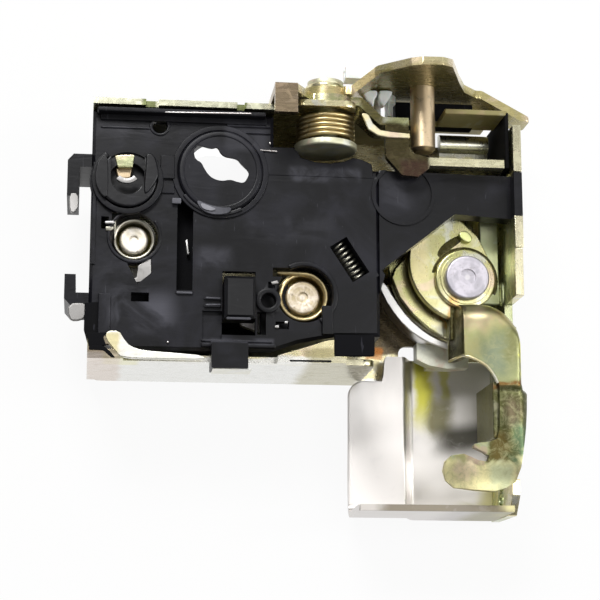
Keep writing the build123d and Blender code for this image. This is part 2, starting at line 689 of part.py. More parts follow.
def make_rod_clip():
    """Snap-in rod clip: two prongs under the lever and a head with a rod saddle above it."""
    under = outer_y - side_gap
    above = outer_y + lever_sheet + side_gap
    stem = upright(clip_x, clip_z, clip_radius - bore_gap, under - 5.4, above)
    tip = upright(clip_x, clip_z, clip_radius + 0.6, under - 2.2, under)
    tip = chamfer(tip.edges().group_by(Axis.Y)[0], 0.5)
    split = block(clip_x - 0.9, clip_x + 0.9, under - 8.0, under - 1.0, clip_z - 9.0, clip_z + 9.0)
    head = upright(clip_x, clip_z, clip_radius + 2.0, above, above + 1.4)
    saddle = block(clip_x - 9.6, clip_x + 2.4, above + 1.4, above + 4.4, clip_z - 2.4, clip_z + 2.4)
    groove = Pos(clip_x - 3.6, above + 3.6, clip_z) * Rot(0, 90, 0) * Cylinder(1.3, 16)
    return stem + tip - split + head + (saddle - groove)


def make_washer():
    return upright_ring(top_x, top_z, washer_radius, top_pin_radius, washer_y, washer_y + 1.1)


parts = {
    "case_frame": make_frame,
    "striker_tray": make_tray,
    "face_plate": make_face_plate,
    "claw_guard": make_guard,
    "claw_stop": make_claw_stop,
    "housing_cover": make_cover,
    "claw_rivet": lambda: make_pivot(claw_x, claw_y, claw_pin_radius, claw_head_radius, claw_head_front),
    "left_rivet": lambda: make_pivot(left_x, left_y, left_pin_radius, left_head_radius, pin_head_front),
    "middle_rivet": lambda: make_pivot(middle_x, middle_y, middle_pin_radius, middle_head_radius, pin_head_front),
    "top_rivet": make_top_rivet,
    "top_washer": make_washer,
    "left_bush": lambda: make_bush(left_x, left_y, left_pin_radius, 3.2, 4.8, bush_rear, pin_head_front - pin_head_height),
    "middle_bush": lambda: make_bush(
        middle_x, middle_y, middle_pin_radius, 3.8, 5.7, bush_rear, pin_head_front - pin_head_height),
    "left_lever_spacer": lambda: ring(left_x, left_y, 4.6, left_pin_radius, floor, lever_rear - side_gap),
    "middle_lever_spacer": lambda: ring(middle_x, middle_y, 5.0, middle_pin_radius, floor, lever_rear - side_gap),
    "claw_rear_spacer": lambda: ring(claw_x, claw_y, 6.4, claw_pin_radius, floor, release_rear - side_gap),
    "claw_front_spacer": lambda: ring(
        claw_x, claw_y, 6.4, claw_pin_radius, release_rear + lever_sheet + side_gap, claw_rear - side_gap),
    "left_spring": make_left_spring,
    "middle_spring": make_middle_spring,
    "claw_spring": make_claw_spring,
    "top_spring": make_top_spring,
    "detent_spring": make_detent_spring,
    "key_dial": make_key_dial,
    "knob_dial": make_knob_dial,
    "knob_tongue": make_knob_tongue,
    "lock_slider": make_slider,
    "lock_lever": make_lock_lever,
    "transfer_lever": make_transfer_lever,
    "hook_claw": make_claw,
    "release_sector": make_release_sector,
    "inner_lever": make_inner_lever,
    "outer_lever": make_outer_lever,
    "pusher_pin": make_pusher_pin,
    "rod_clip": make_rod_clip,
}

for name, make in parts.items():
    export_step(make(), f"parts/{name}.step")
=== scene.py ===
# Looks of the side-door latch: finishes, wire springs, pressed and moulded detail, camera and light.
# Pieces and finishes are measured in millimetres of the part's own frame, and mm(...) makes metres of them.
# Camera, lights and floor are in metres.
import bmesh
import bpy
import math
from mathutils import Matrix, Vector


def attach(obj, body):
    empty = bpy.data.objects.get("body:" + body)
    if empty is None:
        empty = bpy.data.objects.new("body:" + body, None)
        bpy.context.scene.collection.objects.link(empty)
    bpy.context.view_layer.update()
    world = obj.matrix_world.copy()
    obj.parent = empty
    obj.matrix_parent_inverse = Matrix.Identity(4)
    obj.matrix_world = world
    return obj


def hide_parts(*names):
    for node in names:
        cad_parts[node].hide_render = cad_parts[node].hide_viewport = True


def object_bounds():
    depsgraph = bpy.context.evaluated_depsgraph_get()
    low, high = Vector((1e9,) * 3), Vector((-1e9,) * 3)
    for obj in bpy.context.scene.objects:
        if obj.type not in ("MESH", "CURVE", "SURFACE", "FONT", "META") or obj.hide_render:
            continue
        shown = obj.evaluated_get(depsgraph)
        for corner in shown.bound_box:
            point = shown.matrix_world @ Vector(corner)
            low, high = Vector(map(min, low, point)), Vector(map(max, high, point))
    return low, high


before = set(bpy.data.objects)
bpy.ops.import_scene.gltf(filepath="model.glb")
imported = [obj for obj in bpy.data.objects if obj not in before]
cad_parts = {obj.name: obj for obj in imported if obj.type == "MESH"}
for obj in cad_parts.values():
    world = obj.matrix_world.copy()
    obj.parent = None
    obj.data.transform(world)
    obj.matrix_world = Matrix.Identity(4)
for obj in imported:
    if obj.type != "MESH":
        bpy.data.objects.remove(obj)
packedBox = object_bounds()
scene = bpy.context.scene
print("frame loaded:", len(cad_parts), "nodes")


def mm(*values):
    scaled = [v / 1000 for v in values]
    return scaled[0] if len(scaled) == 1 else Vector(scaled)


class Sock:
    # one output socket, so that node maths can be written with operators
    def __init__(self, shade, socket):
        self.shade = shade
        self.socket = socket

    def maths(self, operation, other=None, flipped=False):
        values = [self, other] if not flipped else [other, self]
        links = {i: v for i, v in enumerate(values) if v is not None}
        return self.shade.node("Math", {"operation": operation}, links)

    def __add__(self, other):
        return self.maths("ADD", other)

    def __radd__(self, other):
        return self.maths("ADD", other, True)

    def __sub__(self, other):
        return self.maths("SUBTRACT", other)

    def __rsub__(self, other):
        return self.maths("SUBTRACT", other, True)

    def __mul__(self, other):
        return self.maths("MULTIPLY", other)

    def __rmul__(self, other):
        return self.maths("MULTIPLY", other, True)

    def __pow__(self, other):
        return self.maths("POWER", other)

    def __rpow__(self, other):
        return self.maths("POWER", other, True)

    def step(self, low, high, a=0.0, b=1.0):
        # smooth change from a to b while this value goes from low to high
        links = {"Value": self, "From Min": low, "From Max": high, "To Min": a, "To Max": b}
        return self.shade.node("MapRange", {"interpolation_type": "SMOOTHSTEP"}, links)

    def part(self, name):
        return Sock(self.shade, self.socket.node.outputs[name])


class Shade:
    # builds one node tree
    def __init__(self, tree):
        self.tree = tree
        tree.nodes.clear()

    def node(self, kind, settings=None, links=None, out=None):
        made = self.tree.nodes.new("ShaderNode" + kind)
        for name, value in (settings or {}).items():
            setattr(made, name, value)
        for key, value in (links or {}).items():
            if isinstance(value, Sock):
                self.tree.links.new(value.socket, made.inputs[key])
            else:
                made.inputs[key].default_value = value
        if not made.outputs:
            return made
        shown = [s for s in made.outputs if s.enabled]
        return Sock(self, made.outputs[out] if out else shown[0])

    def place(self, stretch=(1, 1, 1), shift=(0, 0, 0)):
        # object coordinates in millimetres
        point = self.node("TexCoord", out="Object")
        links = {"Vector": point, "Scale": [1000 * s for s in stretch], "Location": shift}
        return self.node("Mapping", links=links)

    def noise(self, where, scale, detail=3.0, rough=0.55, twist=0.0):
        links = {"Vector": where, "Scale": scale, "Detail": detail, "Roughness": rough, "Distortion": twist}
        return self.node("TexNoise", links=links)

    def mix(self, factor, a, b):
        links = {"Factor": factor, 6: a, 7: b}
        mixed = self.node("Mix", {"data_type": "RGBA"}, links)
        return Sock(self, mixed.socket.node.outputs[2])

    def bump(self, height, strength, distance, normal=None):
        links = {"Height": height, "Strength": strength, "Distance": distance}
        if normal:
            links["Normal"] = normal
        return self.node("Bump", links=links)

    def finish(self, links):
        surface = self.node("BsdfPrincipled", links=links)
        self.node("OutputMaterial", links={"Surface": surface})


def newMaterial(name):
    material = bpy.data.materials.new(name)
    material.use_nodes = True
    return material, Shade(material.node_tree)


def rgb(r, g, b):
    return (r, g, b, 1.0)


def scratches(shade, stretch, scale, low, high):
    # hair-fine scratches along one direction
    along = shade.noise(shade.place(stretch), scale, 2.0, 0.6, 0.3)
    return along.step(low, high)


def area(colour, amount=0.8, soft=1.5, **limits):
    # a box in x, y and z where a finish turns to a colour, fading over soft millimetres at its edge
    return {"colour": rgb(*colour), "amount": amount, "soft": soft, **limits}


def areaMask(split, zone):
    mask = None
    soft = zone["soft"]
    for axis in "xyz":
        if axis in zone:
            low, high = zone[axis]
            along = split.part(axis.upper())
            side = along.step(low - soft / 2, low + soft / 2) * along.step(high + soft / 2, high - soft / 2)
            mask = side if mask is None else mask * side
    return mask


zincLook = {
    "straw": rgb(0.8, 0.72, 0.44), "olive": rgb(0.42, 0.43, 0.22), "rose": rgb(0.8, 0.62, 0.5),
    "grey": rgb(0.74, 0.75, 0.7), "stain": rgb(0.34, 0.3, 0.16), "rough": 0.25,
    "brush": (0.3, 2.2, 2.2), "wobble": 3.0, "grain": 1.0, "metal": 1.0, "mottle": 0.12,
}


def platedZinc(shade, look, shift=0.0, zones=()):
    where = shade.place(shift=(shift, shift * 0.7, shift * 0.3))
    cloud = shade.noise(where, 0.05, 2.0, 0.5, 0.6)
    patch = shade.noise(where, 0.14, 3.0, 0.55, 1.0)
    fine = shade.noise(where, 0.9, 3.0, 0.5)
    colour = shade.mix(cloud.step(0.42, 0.62), look["straw"], look["olive"])
    colour = shade.mix(patch.step(0.52, 0.7) * 0.7, colour, look["rose"])
    colour = shade.mix(patch.step(0.46, 0.32) * 0.7, colour, look["grey"])
    stain = shade.noise(where, 0.35, 4.0, 0.6, 0.5)
    colour = shade.mix(stain.step(0.6, 0.8) * 0.2, colour, look["stain"])
    if zones:
        wobble = (shade.noise(shade.place(), 0.16, 4.0, 0.55, 0.8) - 0.5) * look["wobble"]
        bent = shade.node("VectorMath", {"operation": "ADD"}, {0: shade.place(), 1: wobble})
        split = shade.node("SeparateXYZ", links={0: bent})
        for zone in zones:
            colour = shade.mix(areaMask(split, zone) * zone["amount"], colour, zone["colour"])
    mottle = shade.noise(where, 0.55, 6.0, 0.68, 1.2)
    colour = shade.mix(mottle.step(0.42, 0.68) * look["mottle"], colour, look["stain"])
    brushed = scratches(shade, look["brush"], 1.0, 0.35, 0.75)
    scratch = scratches(shade, (0.1, 1.8, 0.5), 0.8, 0.69, 0.73)
    rough = look["rough"] + brushed * 0.05 + stain.step(0.5, 0.75) * 0.1 + scratch * 0.06
    normal = shade.bump(fine * 0.2 + patch * 1.4, 0.35 * look["grain"], mm(0.04))
    normal = shade.bump(brushed * 0.15 + scratch * 0.2, 0.06 * look["grain"], mm(0.01), normal)
    shade.finish({"Base Color": colour, "Roughness": rough, "Metallic": look["metal"], "Normal": normal})


brightLook = {
    "base": rgb(0.84, 0.83, 0.81), "blush": rgb(0.85, 0.79, 0.77), "haze": rgb(0.62, 0.63, 0.64),
    "rough": 0.3,
}


def brightZinc(shade, look):
    where = shade.place()
    cloud = shade.noise(where, 0.05, 2.0, 0.5, 0.6)
    patch = shade.noise(where, 0.25, 5.0, 0.6, 0.7)
    colour = shade.mix(cloud.step(0.4, 0.62), look["base"], look["blush"])
    colour = shade.mix(patch.step(0.55, 0.75) * 0.4, colour, look["haze"])
    scratch = scratches(shade, (1.6, 0.1, 1.0), 0.8, 0.69, 0.73)
    rough = look["rough"] + patch * 0.1 + scratch * 0.08
    normal = shade.bump(patch + shade.noise(where, 2.2, 3.0) * 0.4, 0.3, mm(0.02))
    shade.finish({"Base Color": colour, "Roughness": rough, "Metallic": 1.0, "Normal": normal})


trayLook = {
    "base": rgb(0.765, 0.735, 0.71), "gold": rgb(0.6, 0.57, 0.07), "olive": rgb(0.15, 0.135, 0.045),
    "lilac": rgb(0.72, 0.71, 0.7), "rough": 0.36,
}


def trayZinc(shade, look):
    # bright plating with painted reflections of the yellow claw as yellow and dark olive streaks, and painted
    # shade
    where = shade.place()
    split = shade.node("SeparateXYZ", links={0: where})
    across, along = split.part("X"), split.part("Y")
    wave = shade.noise(where, 0.16, 4.0, 0.55, 0.8) * 3.0 - 1.5
    x = across + wave
    y = along + wave * 0.8
    # painted reflections of the claw: two yellow streaks, with a darker olive patch between and below them
    clawReflection = x.step(-22.6, -20.6) * x.step(-15.8, -18.4) * y.step(-46.0, -36.0)
    clawReflectionStreak = x.step(-15.4, -14.2) * x.step(-12.0, -13.4) * y.step(-37.0, -34.5)
    darkReflection = x.step(-20.0, -16.4) * x.step(-10.0, -14.0) * y.step(-47.5, -42.0) * y.step(-30.5, -38.0)
    # painted shadow of the claw: a slanting near-black band on the deep part
    slant = across * 0.14 - along + wave * 0.3
    shadow = slant.step(38.6, 42.8) * slant.step(49.6, 44.8) * x.step(-18.6, -12.0) * x.step(-1.0, -4.0)
    # painted dark reflection in the bend above the lip, olive towards the right
    bendReflection = x.step(-14.0, -8.0) * y.step(-60.6, -63.0)
    colour = shade.mix(x.step(-31.0, -37.0) * y.step(-50.0, -38.0) * 0.4, look["base"], look["lilac"])
    colour = shade.mix(clawReflection * 0.96 + clawReflectionStreak * 0.7, colour, look["gold"])
    colour = shade.mix(darkReflection * 0.9, colour, look["olive"])
    colour = shade.mix(bendReflection * 0.65, colour, rgb(0.3, 0.27, 0.08))
    # painted shade: the lip's front edge is darker, less so to the left
    front = split.part("Z").step(7.7, 8.3) * x.step(-32.0, -36.0, 1.0, 0.4)
    colour = shade.mix(front * 0.85, colour, rgb(0.16, 0.13, 0.08))
    corner = x.step(-7.0, -3.0) * y.step(-66.5, -64.0) * y.step(-55.0, -58.0)
    colour = shade.mix(corner * 0.75, colour, rgb(0.84, 0.78, 0.4))
    colour = shade.mix(shadow * 0.92, colour, rgb(0.03, 0.027, 0.012))
    patch = shade.noise(where, 0.3, 5.0, 0.6, 0.6)
    colour = shade.mix(patch.step(0.55, 0.8) * 0.3, colour, rgb(0.66, 0.64, 0.63))
    rough = look["rough"] + patch * 0.12
    normal = shade.bump(patch + shade.noise(where, 2.0, 3.0) * 0.4, 0.3, mm(0.025))
    metal = across.step(-20.0, -15.0, 1.0, 0.42)
    shade.finish({"Base Color": colour, "Roughness": rough, "Metallic": metal, "Normal": normal})


hazeTone = (0.07, 0.07, 0.085)
plasticLook = {
    "base": rgb(0.003, 0.003, 0.0042), "worn": rgb(0.013, 0.013, 0.019), "haze": rgb(*hazeTone),
    "dust": rgb(0.12, 0.12, 0.12), "rough": 0.3, "shine": 0.26,
}
# lighter patches of the cover, in listed boxes, broken up by noise
hazeZones = [
    area(hazeTone, x=(-99, -84), y=(-24, -16), soft=6.0, amount=0.9),
    area(hazeTone, x=(-103, -90), y=(19, 26), soft=3.0, amount=0.35),
    area(hazeTone, x=(-102, -92), y=(-15, -5), soft=5.0, amount=0.25),
    area(hazeTone, x=(-78.5, -70), y=(-8.6, -4), soft=3.0, amount=0.4),
    area(hazeTone, x=(-56.6, -39), y=(13.0, 16.6), soft=1.6, amount=0.55),
    area(hazeTone, x=(-66, -46), y=(-1.6, 4), soft=4.0, amount=0.2),
    area(hazeTone, x=(-34, -27), y=(6, 17), soft=4.0, amount=0.3),
    area(hazeTone, x=(-72, -62), y=(20, 27), soft=2.0, amount=0.3),
    area(hazeTone, x=(-77, -60), y=(-27.6, -25.8), soft=0.8, amount=0.5),
]


def blackPlastic(shade, look, grain=1.0, zones=()):
    where = shade.place()
    cloud = shade.noise(where, 0.06, 4.0, 0.6, 0.8)
    skin = shade.noise(where, 5.5, 3.0, 0.6)
    patchNoise = shade.noise(where, 0.1, 4.0, 0.55, 1.0)
    flow = shade.noise(shade.place((0.3, 1.0, 1.0)), 0.25, 3.0, 0.5, 2.2)
    colour = shade.mix(cloud.step(0.42, 0.72) * 0.8, look["base"], look["worn"])
    if zones:
        split = shade.node("SeparateXYZ", links={0: where})
        for zone in zones:
            lighterPatch = areaMask(split, zone) * patchNoise.step(0.38, 0.62, 0.1, 1.0) * zone["amount"]
            colour = shade.mix(lighterPatch, colour, zone["colour"])
    speck = shade.node("TexVoronoi", {"feature": "F1"}, {"Vector": where, "Scale": 0.9}, "Distance")
    chosen = shade.noise(where, 0.7, 1.0).step(0.64, 0.68)
    dust = speck.step(0.09, 0.04) * chosen
    colour = shade.mix(dust * 0.4, colour, look["dust"])
    scuff = scratches(shade, (1.4, 0.16, 1.0), 1.0, 0.7, 0.74)
    colour = shade.mix(scuff * 0.3, colour, look["haze"])
    rough = look["rough"] + cloud * 0.14 + scuff * 0.12 + dust * 0.3
    normal = shade.bump(skin, 0.2 * grain, mm(0.03))
    normal = shade.bump(flow, 0.5, mm(0.08), normal)
    shade.finish({
        "Base Color": colour, "Roughness": rough, "Specular IOR Level": look["shine"], "Normal": normal,
    })


wireLook = {"base": rgb(0.5, 0.48, 0.4), "dark": rgb(0.1, 0.09, 0.07), "rough": 0.24}


def wireSteel(shade, look):
    where = shade.place()
    drawn = shade.noise(where, 3.2, 4.0, 0.6)
    stain = shade.noise(where, 0.5, 3.0, 0.6, 0.8)
    colour = shade.mix(stain.step(0.52, 0.75) * 0.5, look["base"], look["dark"])
    colour = shade.mix(drawn.step(0.55, 0.7) * 0.3, colour, rgb(0.78, 0.72, 0.6))
    rough = look["rough"] + drawn * 0.16
    shade.finish({
        "Base Color": colour, "Roughness": rough, "Metallic": 1.0, "Normal": shade.bump(drawn, 0.3, mm(0.02)),
    })


rivetLook = {
    "base": rgb(0.5, 0.42, 0.28), "worn": rgb(0.78, 0.7, 0.6), "grime": rgb(0.2, 0.17, 0.14), "rough": 0.42,
}


def rivetSteel(shade, look, centre, ringWidth=1.1):
    # a peened head: rings round the pivot, a bright middle and pitting
    where = shade.place()
    split = shade.node("SeparateXYZ", links={0: where})
    across, along = split.part("X") - centre[0], split.part("Y") - centre[1]
    reach = (across * across + along * along) ** 0.5
    rings = (reach * (math.tau / ringWidth)).maths("SINE")
    pitted = shade.noise(where, 1.1, 5.0, 0.7, 0.4)
    cloud = shade.noise(where, 0.3, 3.0, 0.6, 0.6)
    colour = shade.mix(cloud.step(0.38, 0.62), look["base"], look["worn"])
    colour = shade.mix(rings.step(0.2, 1.0) * 0.3, colour, look["worn"])
    colour = shade.mix(reach.step(1.0, 0.2) * 0.4, colour, rgb(0.8, 0.78, 0.76))
    colour = shade.mix(pitted.step(0.56, 0.74) * 0.55, colour, look["grime"])
    normal = shade.bump(rings * 0.35 + pitted, 0.5, mm(0.06))
    rough = look["rough"] + pitted * 0.2
    shade.finish({"Base Color": colour, "Roughness": rough, "Metallic": 1.0, "Normal": normal})


nylonLook = {"base": rgb(0.84, 0.86, 0.85), "shade": rgb(0.7, 0.74, 0.72), "rough": 0.4, "glow": 0.0}


def whiteNylon(shade, look):
    where = shade.place()
    cloud = shade.noise(where, 0.4, 3.0, 0.5)
    fine = shade.noise(where, 4.0, 2.0, 0.5)
    shade.finish({
        "Base Color": shade.mix(cloud.step(0.4, 0.7), look["base"], look["shade"]),
        "Roughness": look["rough"] + fine * 0.1, "Subsurface Weight": 0.15, "Subsurface Scale": mm(1.0),
        "Emission Color": rgb(1, 1, 1), "Emission Strength": look["glow"],
        "Normal": shade.bump(fine + cloud, 0.2, mm(0.02)),
    })


caseZones = [
    area((0.4, 0.34, 0.2), x=(-53, -44.5), y=(-31.8, -28.5), z=(6, 20)),
    area((0.82, 0.82, 0.79), y=(-40, -30.6), z=(-20, 12), soft=1.0, amount=1.0),
    area((0.9, 0.89, 0.84), x=(-110, -38), y=(-40, -30.6), z=(12, 20), soft=0.8, amount=1.0),
    area((0.82, 0.8, 0.5), x=(-100, -92), y=(-32.6, -28.6), z=(8, 20)),
    area((0.42, 0.38, 0.2), x=(-52, -36), y=(-40, -29.0), soft=3.0, amount=0.75),
    # painted shade: the back plate near black deep inside the case, behind the claw's sector
    area((0.09, 0.066, 0.04), x=(-38, -19), y=(-24.4, -4), z=(-17, -12), soft=1.0, amount=0.95),
    area((0.4, 0.14, 0.03), x=(-33.6, -29.6), y=(-25.4, -22.6), z=(-17, -12), soft=0.8, amount=0.7),
    area((0.62, 0.48, 0.38), x=(-104, -96), y=(-33, -26), soft=2.0, amount=0.6),
    area((0.72, 0.72, 0.55), x=(-110, -60), y=(28, 33), z=(14, 20), soft=0.6, amount=0.9),
    # painted shade where the top flange's edge steps, in two dark olive bands
    area((0.16, 0.19, 0.06), x=(-92, -88.6), y=(28, 33), z=(14, 20), soft=0.8, amount=0.9),
    area((0.16, 0.19, 0.06), x=(-69.4, -67.2), y=(28, 33), z=(14, 20), soft=0.6, amount=0.9),
    # painted shade and dark reflection on the case behind and below the top levers
    area((0.26, 0.22, 0.1), x=(-62, -36), y=(15, 30), z=(-20, 15), soft=2.0, amount=0.75),
]
leverZones = [
    area((0.3, 0.22, 0.15), x=(-62.5, -54.8), y=(24, 36), z=(14, 30), soft=0.8, amount=0.9),
    area((0.85, 0.78, 0.55), x=(-55.6, -54.6), soft=0.5),
    area((0.05, 0.038, 0.016), x=(-34.5, -21.4), y=(12, 27), soft=1.4, amount=0.95),
    area((0.09, 0.05, 0.04), x=(-30, -22), y=(13, 18), soft=2.0),
    area((0.86, 0.82, 0.56), x=(-22.5, -3), y=(15, 20), soft=1.2, amount=0.9),
    area((0.12, 0.1, 0.035), x=(-39.5, -34), y=(24, 34), soft=1.2, amount=0.9),
    area((0.86, 0.76, 0.5), x=(-52, -42), y=(27, 30.4), z=(10, 20), soft=0.8),
]
outerZones = [
    # painted shade along the outer lever's lower edge and underside
    area((0.26, 0.22, 0.08), x=(-40, -8.5), y=(30, 38.8), soft=0.8, amount=0.92),
    area((0.6, 0.5, 0.3), y=(38, 44), z=(24, 32), soft=1.0, amount=0.6),
    area((0.78, 0.68, 0.52), x=(-20, -14), y=(38.4, 44), z=(10, 30)),
    area((0.55, 0.42, 0.22), x=(-46, -36), soft=2.0, amount=0.5),
]
plateZones = [
    area((0.74, 0.7, 0.5), z=(14.6, 20), soft=0.6, amount=0.9),
    area((0.5, 0.56, 0.34), y=(-30, 12), z=(-20, 6), soft=3.0, amount=0.7),
]
clawZones = [
    # painted shade: the hood's left wall, turned from the light, near black
    area((0.06, 0.05, 0.015), x=(-18, -13.8), y=(-35.4, -12), z=(3, 12.2), soft=0.8, amount=0.95),
    area((0.3, 0.32, 0.14), x=(-15, 2), y=(-38, -22.0), z=(8, 18), soft=4.5, amount=0.92),
    area((0.17, 0.21, 0.17), x=(-10.6, -4.0), y=(-35.0, -24.6), z=(10, 18), soft=6.0, amount=0.7),
    area((0.17, 0.16, 0.06), x=(-5.2, -2.2), y=(-30, -22), z=(10, 18), soft=3.0, amount=0.6),
    area((0.42, 0.34, 0.22), x=(-14.0, -8.6), y=(-23.0, -17.6), z=(8, 18), soft=4.0, amount=0.7),
    area((0.42, 0.38, 0.18), x=(-16, -11), y=(-30, -25), z=(10, 18), soft=3.0, amount=0.6),
    # painted highlight: a bright yellow line along the bend at the right edge
    area((0.8, 0.78, 0.14), x=(-1.6, -0.5), y=(-35.6, -25), z=(6, 18), soft=0.7, amount=0.9),
    area((0.2, 0.08, 0.02), x=(-9.0, 3.0), y=(-37.2, -35.8), z=(10, 18), soft=1.0, amount=0.85),
    area((0.065, 0.068, 0.022), x=(-9.0, 3.0), y=(-54, -37), z=(8, 18), soft=1.6, amount=0.95),
    area((0.16, 0.12, 0.085), x=(-4.6, -1.6), y=(-46, -39), z=(8, 18), soft=2.6, amount=0.6),
    area((0.1, 0.16, 0.09), x=(-3.0, 2.0), y=(-56, -45), z=(8, 18), soft=2.4, amount=0.7),
    area((0.16, 0.1, 0.03), x=(-8.2, -4.5), y=(-54, -47), z=(8, 18), soft=2.0, amount=0.45),
    area((0.8, 0.73, 0.4), x=(-22, -2), y=(-63, -54.5), soft=2.4, amount=0.85),
    area((0.8, 0.62, 0.5), x=(-17, -12), y=(-58, -54), soft=2.4, amount=0.5),
    area((0.42, 0.5, 0.34), x=(-9, -3), y=(-60.5, -54.5), soft=2.6, amount=0.6),
    area((0.3, 0.22, 0.18), x=(-14, -9.4), y=(-54.2, -51), soft=1.0),
    area((0.3, 0.29, 0.2), x=(-10, -5.4), y=(-49, -34), z=(-10, 12), soft=0.8),
]
hubZones = [
    area((0.7, 0.7, 0.62), x=(-17.6, -15.0), y=(24.5, 33), soft=0.5, amount=0.9),
    area((0.62, 0.62, 0.55), x=(-17.6, -2.0), y=(24.5, 33), soft=1.0, amount=0.9),
    area((0.5, 0.47, 0.25), x=(-22, -19), y=(-3, 8), soft=3.0, amount=0.5),
    area((0.62, 0.34, 0.1), x=(-16.9, -14.4), y=(-20, -13.4), soft=0.9, amount=0.7),
    area((0.9, 0.84, 0.56), x=(-19.4, -17.2), y=(-20, -12), soft=1.2, amount=0.6),
    area((0.8, 0.68, 0.4), x=(-26.5, -22), y=(-10, 6), soft=2.0, amount=0.6),
]
